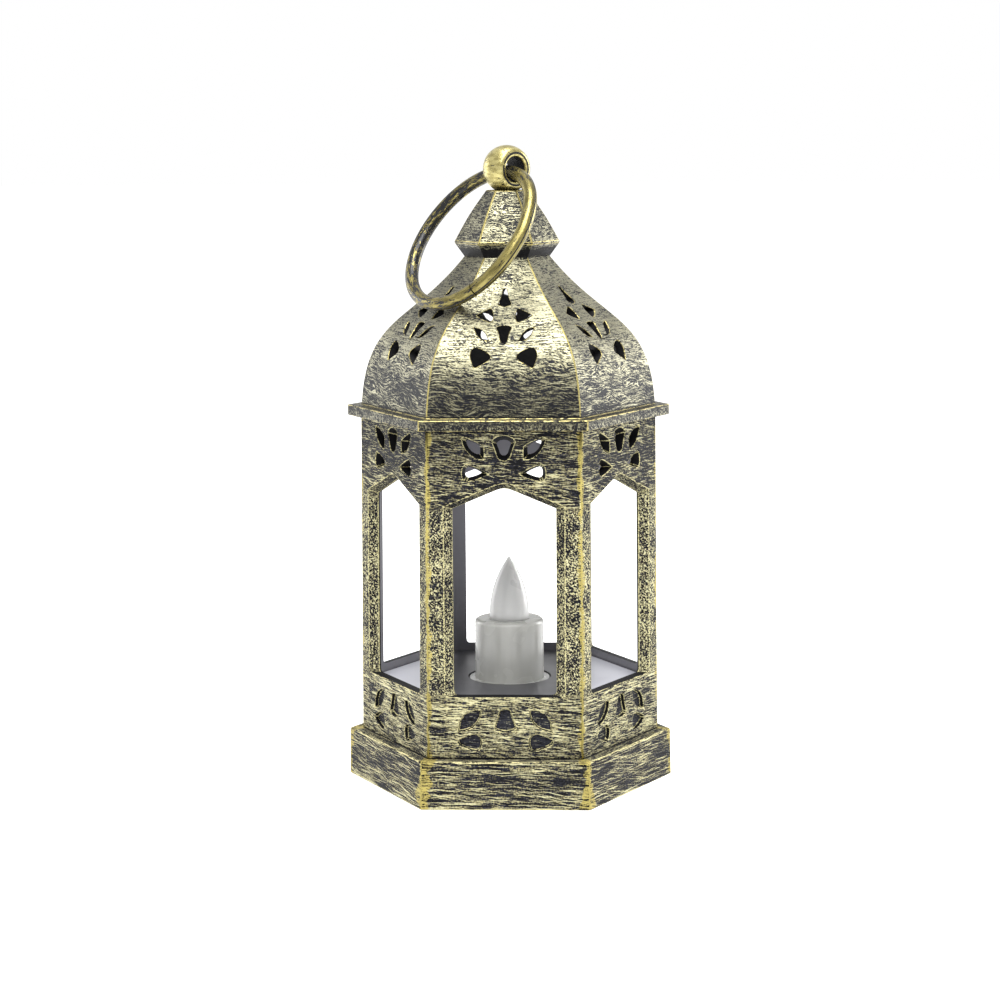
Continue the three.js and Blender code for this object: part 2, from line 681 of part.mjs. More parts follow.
function baseCover() {
  const corner = plinthCorner(0) - PLINTH_DRAFT - PLINTH_WALL / FLAT - FIT / FLAT;
  const plate = hexLathe([[0, COVER_INSET], [corner, COVER_INSET], [corner, coverTop], [0, coverTop]]);
  const well = rod(wellRadius + WELL_WALL, coverTop - COVER_THICK / 2, boardFoot, ROUND);
  const boardBosses = boardFixings.map((angle) => atPlace(
    rod(BOARD_BOSS, coverTop - COVER_THICK / 2, boardFoot), boardFixing, angle,
  ));
  const doorBoss = rod(BOARD_BOSS, coverTop - COVER_THICK / 2, doorScrewTip + FIT + DOOR_PLATE)
    .translate(0, -EAR_PLACE, 0);
  const switchSlot = box(
    [-switchPlace - KNOB[0] / 2 - FIT, -KNOB[1] / 2 - FIT - SWITCH_TRAVEL, COVER_INSET - PAST],
    [-switchPlace + KNOB[0] / 2 + FIT, KNOB[1] / 2 + FIT, coverTop + PAST],
  );
  const screwHoles = coverFixings.flatMap((angle) => [
    atPlace(rod(SCREW_RADIUS + FIT, COVER_INSET - PAST, coverTop + PAST), fixingPlace, angle),
    atPlace(rod(HEAD_RADIUS + FIT, COVER_INSET - PAST, COVER_INSET + HEAD_HEIGHT), fixingPlace, angle),
  ]);
  const boardPilots = boardFixings.map((angle) => atPlace(
    rod(SMALL_SCREW_RADIUS + FIT, boardTop - SMALL_SCREW_LENGTH - FIT, boardFoot + PAST), boardFixing, angle,
  ));
  return cut(join(plate, well, ...boardBosses, doorBoss), [
    rod(wellRadius, COVER_INSET - PAST, boardFoot + PAST, ROUND),
    doorDisc(wellRadius + DOOR_LIP + FIT, EAR_RADIUS + FIT, COVER_INSET - PAST, doorPlateTop + FIT),
    rod(SMALL_SCREW_RADIUS + FIT, COVER_INSET - PAST, doorScrewTip + FIT).translate(0, -EAR_PLACE, 0),
    switchSlot,
    ...screwHoles,
    ...boardPilots,
  ]);
}

function batteryDoor() {
  const plate = doorDisc(wellRadius + DOOR_LIP, EAR_RADIUS, COVER_INSET, doorPlateTop);
  const plug = rod(wellRadius - FIT, COVER_INSET, doorPlateTop + DOOR_PLUG, ROUND);
  const screwHole = rod(SMALL_SCREW_RADIUS + FIT, COVER_INSET - PAST, doorPlateTop + PAST);
  return cut(join(plate, plug), [screwHole.translate(0, -EAR_PLACE, 0)]);
}

// A pan-head screw pointing up, its head's upper face at the given height, with a slot below.
function screw(seat, radius, length, headRadius, headHeight) {
  const bodyOfScrew = roundLathe([
    [0, seat - headHeight],
    [headRadius * HEAD_FACE, seat - headHeight],
    [headRadius, seat - headHeight / 2],
    [headRadius, seat],
    [radius, seat],
    [radius, seat + length - radius],
    [0, seat + length],
  ], SMALL_ROUND);
  const slot = box(
    [-2 * headRadius, (-SLOT_WIDTH * headRadius) / 2, seat - headHeight - PAST],
    [2 * headRadius, (SLOT_WIDTH * headRadius) / 2, seat - headHeight / 2],
  );
  return cut(bodyOfScrew, [slot]);
}

function screwUp(seat) {
  return screw(seat, SCREW_RADIUS, SCREW_LENGTH, HEAD_RADIUS, HEAD_HEIGHT);
}

function smallScrewUp(seat) {
  return screw(seat, SMALL_SCREW_RADIUS, SMALL_SCREW_LENGTH, SMALL_HEAD_RADIUS, SMALL_HEAD_HEIGHT);
}

// Coin cell, contacts, board and switch

function coinCell() {
  const step = CELL_THICK / 8;
  return roundLathe([
    [0, cellFoot],
    [CELL_RADIUS - step, cellFoot],
    [CELL_RADIUS, cellFoot + step],
    [CELL_RADIUS, cellTop - step],
    [CELL_RADIUS - 3 * step, cellTop - step],
    [CELL_RADIUS - 4 * step, cellTop],
    [0, cellTop],
  ]);
}

// A strip bent in the XZ plane: the outline of its edge, given its width along Y.
function strip(points) {
  const shape = new THREE.Shape(points.map(([x, z]) => new THREE.Vector2(x, z)));
  return new THREE.ExtrudeGeometry(shape, { depth: STRIP_WIDTH, bevelEnabled: false })
    .rotateX(Math.PI / 2)
    .translate(0, STRIP_WIDTH / 2, 0);
}

function cellSpring() {
  const [high, low] = [boardFoot, cellTop + FIT];
  return strip([
    [-SPRING_REACH, high - STRIP_THICK],
    [-SPRING_REACH / 2, high - STRIP_THICK],
    [SPRING_REACH / 2, low],
    [SPRING_REACH, low + STRIP_THICK],
    [SPRING_REACH, low + 2 * STRIP_THICK],
    [SPRING_REACH / 2, low + STRIP_THICK],
    [-SPRING_REACH / 2 + STRIP_THICK, high],
    [-SPRING_REACH, high],
  ]);
}

function plusContact() {
  const x = CELL_RADIUS + FIT;
  return strip([
    [x, cellFoot + CELL_THICK / 4],
    [x + STRIP_THICK, cellFoot + CELL_THICK / 4],
    [x + STRIP_THICK, boardFoot],
    [SPRING_REACH + 2 * STRIP_THICK, boardFoot],
    [SPRING_REACH + 2 * STRIP_THICK, boardFoot - STRIP_THICK],
    [x, boardFoot - STRIP_THICK],
  ]);
}

function circuitBoard() {
  const holes = boardFixings.map((angle) => atPlace(
    rod(SMALL_SCREW_RADIUS + FIT, boardFoot - PAST, boardTop + PAST), boardFixing, angle,
  ));
  return cut(rod(boardRadius, boardFoot, boardTop, ROUND), holes);
}

function controlChip() {
  const [dx, dy, dz] = CHIP;
  return box([chipPlace - dx / 2, -dy / 2, boardTop], [chipPlace + dx / 2, dy / 2, boardTop + dz]);
}

function switchCase() {
  const [dx, dy, dz] = SWITCH_CASE;
  const foot = coverTop + FIT;
  const shell = box([-dx / 2, -dy / 2, foot], [dx / 2, dy / 2, foot + dz]);
  const half = PIN_THICK / 2;
  const pins = [-1, 0, 1].map((i) => box(
    [-half, (i * dy) / 4 - half, foot + FIT],
    [half, (i * dy) / 4 + half, boardFoot],
  ));
  return join(shell, ...pins).translate(-switchPlace, -SWITCH_TRAVEL / 2, 0);
}

function switchSlider() {
  const [dx, dy] = KNOB;
  const foot = COVER_INSET - KNOB_PROUD;
  const knob = box([-dx / 2, -dy / 2, foot], [dx / 2, dy / 2, coverTop]);
  const grooves = [-1, 1].map((s) => box(
    [-dx, (s * dy) / 5 - dy / 16, foot - PAST],
    [dx, (s * dy) / 5 + dy / 16, foot + KNOB_PROUD / 2],
  ));
  return cut(knob, grooves).translate(-switchPlace, 0, 0);
}

// Finishes

function finish(color, roughness, metalness) {
  return new THREE.MeshStandardMaterial({ color, roughness, metalness });
}

const brushedGold = finish(0x8c8463, 0.45, 0.35);
const ringGold = finish(0xa8975a, 0.35, 0.5);
const greyPlastic = finish(0x5a5a60, 0.3, 0);
const blackPlastic = finish(0x1c1c1e, 0.5, 0);
const milkyPlastic = finish(0xb4b3ae, 0.35, 0);
const clearPlastic = finish(0xf2e6b0, 0.15, 0);
const steel = finish(0xb9bcc0, 0.3, 0.9);
const boardGreen = finish(0x2d5a3c, 0.6, 0);

// Assembly

const lantern = new THREE.Group();
const roofBody = roof();
const capBody = roofCap();

function place(name, geometry, material) {
  const mesh = new THREE.Mesh(geometry, material);
  mesh.name = name;
  lantern.add(mesh);
}

place('plinth', plinth(), brushedGold);
place('lantern_body', lanternBody(), brushedGold);
place('roof', roofBody, brushedGold);
place('roof_cap', capBody, brushedGold);
place('hanging_eye', hangingEye(), ringGold);
place('carry_ring', carryRing(roofBody, capBody), ringGold);
place('floor_plate', floorPlate(), greyPlastic);
place('candle_shell', candleShell(), milkyPlastic);
place('candle_flame', candleFlame(), milkyPlastic);
place('led', led(), clearPlastic);
place('led_lead_1', ledLead(-1), steel);
place('led_lead_2', ledLead(1), steel);
place('circuit_board', circuitBoard(), boardGreen);
place('control_chip', controlChip(), blackPlastic);
place('cell_spring', cellSpring(), steel);
place('plus_contact', plusContact(), steel);
place('coin_cell', coinCell(), steel);
place('switch_case', switchCase(), steel);
place('switch_slider', switchSlider(), blackPlastic);
place('base_cover', baseCover(), blackPlastic);
place('battery_door', batteryDoor(), blackPlastic);
place('door_screw', smallScrewUp(COVER_INSET).translate(0, -EAR_PLACE, 0), steel);
coverFixings.forEach((angle, i) => {
  place(`cover_screw_${i + 1}`, atPlace(screwUp(COVER_INSET + HEAD_HEIGHT), fixingPlace, angle), steel);
});
legFixings.forEach((angle, i) => {
  place(`plate_screw_${i + 1}`, atPlace(screwUp(deckFoot), legPlace, angle), steel);
});
boardFixings.forEach((angle, i) => {
  const down = smallScrewUp(-boardTop).rotateX(Math.PI);
  place(`board_screw_${i + 1}`, atPlace(down, boardFixing, angle), steel);
});

export default lantern;
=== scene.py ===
# %% [markdown]
# # A small Moroccan lantern
#
# The lantern is a hexagonal plastic moulding with a pierced ogee dome, painted slate grey and then
# dry-brushed with pale gold. A grey floor carries a translucent LED candle, and a ring hangs in the
# ball on top. The construction is already fixed in millimetres by the CAD model, so this script only
# gives each piece its rounded edges and its finish.

# %% Load the fixed frame
import json
import math
from functools import partial, reduce

import bmesh
import bpy
from mathutils import Matrix, Vector, geometry


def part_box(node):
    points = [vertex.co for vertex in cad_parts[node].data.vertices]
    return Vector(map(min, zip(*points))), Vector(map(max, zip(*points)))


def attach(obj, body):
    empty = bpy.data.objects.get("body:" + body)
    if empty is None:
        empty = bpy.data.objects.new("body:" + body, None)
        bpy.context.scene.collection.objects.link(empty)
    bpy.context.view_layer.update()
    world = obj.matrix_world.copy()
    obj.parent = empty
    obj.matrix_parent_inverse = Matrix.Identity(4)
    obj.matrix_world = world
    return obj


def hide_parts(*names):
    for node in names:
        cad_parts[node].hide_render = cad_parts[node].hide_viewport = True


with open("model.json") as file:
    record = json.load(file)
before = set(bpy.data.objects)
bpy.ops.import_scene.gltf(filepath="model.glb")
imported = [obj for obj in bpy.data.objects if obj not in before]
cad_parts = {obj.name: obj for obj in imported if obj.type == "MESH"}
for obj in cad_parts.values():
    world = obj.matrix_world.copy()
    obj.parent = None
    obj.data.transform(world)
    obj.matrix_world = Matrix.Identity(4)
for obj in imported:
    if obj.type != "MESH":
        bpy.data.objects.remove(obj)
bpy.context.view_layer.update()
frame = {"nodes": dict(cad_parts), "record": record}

# %% [markdown]
# ## The camera
#
# A camera could be aimed by eye, but then every edge would miss the photograph by a little. Here its
# distance, height and turn come from a fit: the lantern's known corners were projected until they lay
# on the photographed ones. It stands half a metre away, hardly above the sill, a little to the right.

# %% Where the camera stands, in millimetres
MM = 0.001  # the scene is in metres
VIEW_DISTANCE = 519.4
VIEW_ELEVATION = math.radians(8.73)
VIEW_YAW = math.radians(2.23)
VIEW_ROLL = math.radians(-0.38)
VIEW_LENS = 92.63  # on a film 36 mm wide
AIM_HEIGHT = 60
AIM_SIDE = -1.74
AIM_UP = -3.24

# %% Camera
def aim_camera():
    back = Vector((
        math.sin(VIEW_YAW) * math.cos(VIEW_ELEVATION),
        -math.cos(VIEW_YAW) * math.cos(VIEW_ELEVATION),
        math.sin(VIEW_ELEVATION),
    ))
    side = Vector((0, 0, 1)).cross(back).normalized()
    up = back.cross(side)
    aim = Vector((0, 0, AIM_HEIGHT)) + side * AIM_SIDE + up * AIM_UP
    turned_side = side * math.cos(VIEW_ROLL) + up * math.sin(VIEW_ROLL)
    turned_up = back.cross(turned_side)
    place = (aim + back * VIEW_DISTANCE) * MM
    data = bpy.data.cameras.new("camera")
    data.lens = VIEW_LENS
    data.sensor_width = 36
    data.clip_start = 0.01
    camera = bpy.data.objects.new("camera", data)
    turn = Matrix((turned_side, turned_up, back)).transposed().to_4x4()
    camera.matrix_world = Matrix.Translation(place) @ turn
    bpy.context.collection.objects.link(camera)
    bpy.context.scene.camera = camera
    print("camera at", tuple(round(v, 4) for v in place))


aim_camera()
bpy.context.scene.view_settings.view_transform = "Standard"

# %% [markdown]
# ## The lantern's hexagon
#
# Every moulding of the lantern is a hexagon with a corner on +X, and a corner radius is measured from
# the axis to a corner. The sizes repeat the CAD's, with the levels read from the frame itself, so that
# the finished pieces sit exactly where the solids are.

# %% Levels and corner radii, in millimetres
SIDES = 6
FLAT = math.cos(math.pi / SIDES)  # a face's distance from the axis, as a share of the corner radius
TURN = math.tau / SIDES

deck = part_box("lantern_body")[0][2] / MM
body_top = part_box("lantern_body")[1][2] / MM
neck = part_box("roof")[1][2] / MM
cap_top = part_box("roof_cap")[1][2] / MM
eye_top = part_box("hanging_eye")[1][2] / MM
candle_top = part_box("candle_shell")[1][2] / MM
floor_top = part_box("floor_plate")[1][2] / MM
print("levels:", [round(v, 2) for v in (deck, floor_top, candle_top, body_top, neck, cap_top, eye_top)])

# %% Spun meshes and their profiles
def turned(profile, steps):
    """Spins a profile of (radius, z) points about the Z axis; it closes on itself or on the axis."""
    bm = bmesh.new()
    verts = [bm.verts.new((r, 0, z)) for r, z in profile]
    pairs = zip(verts, verts[1:] + verts[:1])
    edges = [bm.edges.new(pair) for pair in pairs if pair[0].co.x + pair[1].co.x > 0]
    bmesh.ops.spin(
        bm, geom=verts + edges, cent=(0, 0, 0), axis=(0, 0, 1), angle=math.tau, steps=steps, use_merge=True
    )
    bmesh.ops.remove_doubles(bm, verts=bm.verts, dist=1e-4)
    bmesh.ops.dissolve_degenerate(bm, dist=1e-4, edges=bm.edges)
    bmesh.ops.recalc_face_normals(bm, faces=bm.faces)
    return bm


def rod(radius, low, high, steps=32, distance=0.0, angle=0.0):
    """An upright cylinder, at this distance and angle from the axis."""
    bm = turned([(0, low), (radius, low), (radius, high), (0, high)], steps)
    shift = (distance * math.cos(angle), distance * math.sin(angle), 0)
    bmesh.ops.translate(bm, vec=shift, verts=bm.verts)
    return bm


def quarter(radius, top, out, down, steps):
    """Points of (radius, z) along a quarter of an ellipse, as a rounded rim needs."""
    angles = [math.pi / 2 * i / steps for i in range(steps + 1)]
    return [(radius + out * (1 - math.cos(a)), top - down * (1 - math.sin(a))) for a in angles]


def curve(a, b, c, d, steps):
    """Points of (radius, z) along one Bezier curve."""
    points = geometry.interpolate_bezier(*[Vector((p[0], p[1], 0)) for p in (a, b, c, d)], steps + 1)
    return [(p.x, p.y) for p in points]

# %% Edges and shading
def layer(bm, name):
    """A number on each face, which a material reads as an attribute."""
    return bm.faces.layers.float.get(name) or bm.faces.layers.float.new(name)


def crease(bm, degrees):
    """Smooth shading, with a hard edge at sharper angles and where a rounding starts."""
    limit = math.radians(degrees)
    mark = layer(bm, "edge")
    for face in bm.faces:
        face.smooth = True
    for edge in bm.edges:
        if len(edge.link_faces) != 2:
            continue
        rounded = [face[mark] > 0 for face in edge.link_faces]
        angle = edge.calc_face_angle(0)
        edge.smooth = angle < limit if rounded[0] == rounded[1] else angle < math.radians(3)
        if all(rounded):
            edge.smooth = True


def round_edges(bm, chosen, width, segments=2):
    """Bevels the chosen edges and marks the new faces, which is where paint catches."""
    mark = layer(bm, "edge")
    made = bmesh.ops.bevel(
        bm, geom=chosen, offset=width, segments=segments, profile=0.5, affect="EDGES",
        material=-1, clamp_overlap=False,
    )
    for face in made["faces"]:
        face[mark] = 1.0


def sharp_edges(bm, degrees, where):
    """The edges sharper than this for which the test holds."""
    limit = math.radians(degrees)
    return [e for e in bm.edges if len(e.link_faces) == 2 and e.calc_face_angle(0) > limit and where(e)]

# %% Joining and cutting meshes
SORT_WAY = Vector((1, 0.618, 0.357))  # a slant along which hardly any two vertices lie level


def ordered(bm):
    """Puts the elements in order of place, as the solver's own order is not the same in each run."""
    bm.verts.sort(key=lambda v: v.co @ SORT_WAY)
    bm.edges.sort(key=lambda e: (e.verts[0].co + e.verts[1].co) @ SORT_WAY)
    bm.faces.sort(key=lambda f: f.calc_center_median() @ SORT_WAY)


def as_object(bm, name):
    ordered(bm)
    mesh = bpy.data.meshes.new(name)
    bm.to_mesh(mesh)
    bm.free()
    piece = bpy.data.objects.new(name, mesh)
    bpy.context.collection.objects.link(piece)
    return piece


def combined(bm, tools, operation):
    """Cuts a mesh of tools out of a mesh, or joins them, with the manifold solver."""
    work = as_object(bm, "work")
    tool = as_object(tools, "tool")
    step = work.modifiers.new("step", "BOOLEAN")
    step.operation = operation
    step.solver = "MANIFOLD"
    step.object = tool
    graph = bpy.context.evaluated_depsgraph_get()
    result = bmesh.new()
    result.from_mesh(work.evaluated_get(graph).to_mesh())
    for spent in (work, tool):
        mesh = spent.data
        bpy.data.objects.remove(spent)
        bpy.data.meshes.remove(mesh)
    bmesh.ops.remove_doubles(result, verts=result.verts, dist=1e-3)
    ordered(result)
    bmesh.ops.dissolve_limit(result, angle_limit=math.radians(0.5), verts=result.verts, edges=result.edges)
    return result


def joined(parts):
    """Puts several meshes into one, without merging them."""
    whole = bmesh.new()
    for part in parts:
        mesh = bpy.data.meshes.new("part")
        part.to_mesh(mesh)
        part.free()
        whole.from_mesh(mesh)
        bpy.data.meshes.remove(mesh)
    return whole

# %% From a mesh to a piece of the frame
def lined(bm, bare):
    """Gives the second material to the faces that pass the test, which gets a face and its middle."""
    for face in bm.faces:
        face.material_index = int(bare(face, face.calc_center_median()))


def finished(bm, name, node, body, materials, hard):
    """Makes the piece from its mesh, puts it on its body and hides the node that it stands for."""
    crease(bm, hard)
    bmesh.ops.scale(bm, vec=(MM, MM, MM), verts=bm.verts)
    piece = as_object(bm, name)
    for material in materials:
        piece.data.materials.append(material)
    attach(piece, body)
    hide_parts(node)
    print(name, len(piece.data.polygons), "faces")


# %% [markdown]
# ## Node helpers
#
# Materials are node trees, and a tree built line by line is hard to follow. One helper adds a node,
# sets its properties, and fills each input either with a value or with a link from another node. The
# others find their tree from the output that they are given, so a formula reads nearly as on paper.

# %% Node helpers
def fill(node, inputs):
    """Gives each input a value, or a link where it gets another node's output."""
    for key, value in inputs.items():
        if isinstance(value, bpy.types.NodeSocket):
            node.id_data.links.new(value, node.inputs[key])
        else:
            node.inputs[key].default_value = value
    return node


def add(tree, kind, inputs=None, **settings):
    node = tree.nodes.new(kind)
    for key, value in settings.items():
        setattr(node, key, value)
    return fill(node, inputs or {})

# %% Calculating with nodes
def calculate(operation, *values):
    """One Math node, given back as its output."""
    tree = next(v.id_data for v in values if isinstance(v, bpy.types.NodeSocket))
    return add(tree, "ShaderNodeMath", dict(enumerate(values)), operation=operation).outputs[0]


plus, minus, times, over = [partial(calculate, name) for name in ("ADD", "SUBTRACT", "MULTIPLY", "DIVIDE")]
size_of, times_plus = [partial(calculate, name) for name in ("ABSOLUTE", "MULTIPLY_ADD")]


def highest(*values):
    return reduce(partial(calculate, "MAXIMUM"), values)


def length_of(x, y):
    return calculate("SQRT", plus(times(x, x), times(y, y)))

# %% Values, vectors, colours and normals
def ramp(value, low, high, to_low=0.0, to_high=1.0):
    """A smooth step from one value to another."""
    inputs = {"Value": value, "From Min": low, "From Max": high, "To Min": to_low, "To Max": to_high}
    return add(value.id_data, "ShaderNodeMapRange", inputs, interpolation_type="SMOOTHSTEP").outputs[0]


def stretched(vector, scale, shift=(0, 0, 0)):
    inputs = {"Vector": vector, "Scale": scale, "Location": shift}
    return add(vector.id_data, "ShaderNodeMapping", inputs).outputs[0]


def noise(vector, scale=1.0, detail=2.0, roughness=0.5):
    inputs = {"Vector": vector, "Scale": scale, "Detail": detail, "Roughness": roughness}
    return add(vector.id_data, "ShaderNodeTexNoise", inputs).outputs[0]


def centred(value, size, base):
    """Adds a noise to a value, after taking its mean out and sizing it."""
    return times_plus(minus(value, 0.5), size, base)


def split(vector):
    return add(vector.id_data, "ShaderNodeSeparateXYZ", {0: vector}).outputs


def merged(x, y, z):
    return add(x.id_data, "ShaderNodeCombineXYZ", {0: x, 1: y, 2: z}).outputs[0]


def mixed(factor, a, b):
    """Blends two colours."""
    return add(factor.id_data, "ShaderNodeMix", {0: factor, 6: a, 7: b}, data_type="RGBA").outputs[2]


def bumps(height, strength, distance):
    """A bumpy normal from a height, its distance given in millimetres."""
    inputs = {"Strength": strength, "Distance": distance * MM, "Height": height}
    return add(height.id_data, "ShaderNodeBump", inputs).outputs[0]

# %% Groups, materials and screen colours
def object_place(tree):
    """The Object coordinates in millimetres."""
    coordinates = add(tree, "ShaderNodeTexCoord").outputs["Object"]
    return add(tree, "ShaderNodeVectorMath", {0: coordinates, "Scale": 1 / MM}, operation="SCALE").outputs[0]


def group(name, inputs, outputs):
    """Starts a shader node group with named sockets, and gives back its tree and its two end nodes."""
    tree = bpy.data.node_groups.new(name, "ShaderNodeTree")
    for title, kind, value in inputs:
        socket = tree.interface.new_socket(title, in_out="INPUT", socket_type=kind)
        if value is not None:
            socket.default_value = value
    for title, kind in outputs:
        tree.interface.new_socket(title, in_out="OUTPUT", socket_type=kind)
    return tree, tree.nodes.new("NodeGroupInput"), tree.nodes.new("NodeGroupOutput")


def grouped(tree, group_tree, inputs=None):
    return add(tree, "ShaderNodeGroup", inputs, node_tree=group_tree).outputs


def paint(name):
    """A new material, given back with its tree and its Principled shader."""
    material = bpy.data.materials.new(name)
    material.use_nodes = True
    tree = material.node_tree
    return material, tree, tree.nodes["Principled BSDF"]


def srgb(red, green, blue):
    """A colour as seen on a screen, from 0 to 255, as the linear value that shaders use."""
    linear = [((v / 255 + 0.055) / 1.055) ** 2.4 if v > 10 else v / 255 / 12.92 for v in (red, green, blue)]
    return (*linear, 1.0)


def darker(colour, share):
    return tuple(v * share for v in colour[:3]) + (1.0,)


# %% [markdown]
# ## Where a point lies on its panel
#
# The brush was drawn along each face of the hexagon, so a stroke has to follow the face and start anew
# at each ridge. A UV map could do that, but every piece would need one. Folding the Object coordinates
# does it for all pieces at once: the angle about the axis says which panel a point is on, and from that
# come its place across the panel, its distance from the nearest ridge and its height, all in
# millimetres.

# %% Panel coordinates
PANEL_SHIFT = 41.0  # how far apart the panels lie in the pattern, so that no two are alike


def make_panel_group():
    numbers = [(key, "NodeSocketFloat") for key in ("Ridge", "Height", "Across")]
    tree, _, end = group("Panel Place", [], [("Place", "NodeSocketVector"), *numbers])
    x, y, z = split(object_place(tree))
    angle = calculate("ARCTAN2", y, x)
    panel = calculate("FLOOR", over(angle, TURN))
    turn = minus(angle, times(plus(panel, 0.5), TURN))
    away = length_of(x, y)
    across = times(away, calculate("SINE", turn))
    out = times(away, calculate("COSINE", turn))
    ridge = minus(times(out, math.tan(TURN / 2)), size_of(across))
    place = merged(plus(across, times(panel, PANEL_SHIFT)), out, z)
    fill(end, {"Place": place, "Ridge": ridge, "Height": z, "Across": across})
    return tree


panel_place = make_panel_group()
print(panel_place.name, "has", len(panel_place.nodes), "nodes")

# %% [markdown]
# ## Dry brushing
#
# A nearly dry brush drawn over a grained surface leaves short broken strokes of gold, and the hollows
# between them are painted nearly black, as the shade that falls in them. A scanned texture could show
# that, but a pattern of noise does it at any size: the noise is stretched along the stroke, bent a little
# so that no stroke is straight, and cut off sharply. The same noise gives three things: where it is high
# lies gold, where it is highest the coat is thick and pale, and where it is low is a hollow, which gets a
# nearly black painted shade.

# %% Dry brush group
BRUSH_KEYS = ("Length", "Width", "Sway", "Slope", "Cover")
WOBBLE = 0.3  # how far a stroke wanders from its line, in millimetres
ASIDE = 31.7  # sets the crossing strokes apart from the first ones
CROSSING_LESS = 0.04  # how much weaker the crossing strokes are
FLECKS = 0.25
DRIFT = 0.22  # how much the pressure of the brush changes from place to place
COVER_LEVEL = (-0.4, 0.53)
# Hollow marks the grain's low places, which painted() paints nearly black as shade
STEPS = {"Paint": (-0.02, 0.03), "Thick": (0.0, 0.12), "Hollow": (-0.02, -0.1)}  # from none to full


def make_brush_group():
    sizes = [(key, "NodeSocketFloat", 1.0) for key in BRUSH_KEYS]
    outputs = [(key, "NodeSocketFloat") for key in (*STEPS, "Grain", "Drift")]
    tree, start, end = group("Dry Brush", [("Place", "NodeSocketVector", None), *sizes], outputs)
    place, length, width, sway, slope, cover = [start.outputs[i] for i in range(6)]
    x, y, z = split(place)
    bend = noise(stretched(place, (0.12, 0.2, 0.2)), detail=1)
    wobble = noise(stretched(place, (0.8, 0.8, 0.8), (2, 9, 4)), detail=1)
    bent = centred(bend, sway, centred(wobble, WOBBLE, z))
    along = over(x, length)
    deep_in = over(y, width)
    strokes = noise(merged(along, deep_in, over(bent, width)), detail=1.5, roughness=0.55)
    sloped = over(times_plus(x, slope, bent), width)
    crossing = noise(merged(plus(along, ASIDE), deep_in, sloped), detail=1.5, roughness=0.55)
    flecks = noise(place, scale=2.7, detail=1)
    drift = noise(stretched(place, (0.14, 0.3, 0.3), (7, 3, 11)), detail=2)
    grain = centred(flecks, FLECKS, highest(strokes, minus(crossing, CROSSING_LESS)))
    above = minus(centred(drift, DRIFT, grain), centred(cover, *COVER_LEVEL))
    fill(end, {key: ramp(above, *step) for key, step in STEPS.items()} | {"Grain": grain, "Drift": drift})
    return tree


dry_brush = make_brush_group()
print(dry_brush.name, "has", len(dry_brush.nodes), "nodes")

# %% [markdown]
# ## The painted finish
#
# One material recipe serves the plinth, the body, the roof and the cap, with its own values for each.
# Gold also catches along the ridges and on the rounded edges, which are marked in the mesh, and there it
# is warmer and breaks off in flecks. Recesses, marked too, and the places where parts meet get less gold
# and a painted shade, which turns their grey darker, down to nearly black. On the dome the gold is a more
# metallic coat, and there the grey and the gold are given darker colours than on the body: a painted shade
# for the dark surroundings that the dome reflects. With the light the dome's gold goes from olive to nearly
# white.

# %% Painted plastic
SLATE = srgb(55, 57, 67)
# the roof's and the cap's grey and edge gold are darker than the body's: a painted shade for the dark
# surroundings that the dome reflects
ROOF_SLATE = srgb(36, 38, 44)
ROOF_EDGE = srgb(170, 158, 104)
# painted shade: a darker grey in recesses and openings, and a nearly black one in the grain's hollows, the
# deepest faces and where parts meet
SLATE_SHADE = srgb(46, 47, 54)
SLATE_SHADOW = srgb(15, 15, 17)
PALE_GOLD = srgb(205, 201, 162)
DULL_GOLD = srgb(154, 144, 94)
EDGE_GOLD = srgb(206, 198, 148)
WET_GOLD = srgb(176, 162, 93)
POST_STROKES = (0.34, 0.3, 1.5, 0.8, 0.42)
RIDGE_LINE = (0.1, 0.02)  # from where to where gold fills a ridge, in millimetres
WET_WANDER = 5.0  # how far the edge of the solid coat wanders, as a share of its reach
WET_GRAIN = 0.49
BREAK = 0.04  # how sharply gold breaks off over the grain
# how far a face's depth mark must pass the grain before less gold reaches it and its grey takes the painted
# shade
IN_SHADE = (0.06, 0.16)  # how much deeper than the grain a place is where the gold ends
# from where to where a face's depth mark turns its grey into the nearly black painted shadow
DEEP_SHADOW = (0.8, 0.95)
SLATE_ROUGH = 0.55
LACQUER_ROUGH = 0.36
PAINT_SHINE = 0.08
PAINT_RELIEF = 0.12  # in millimetres


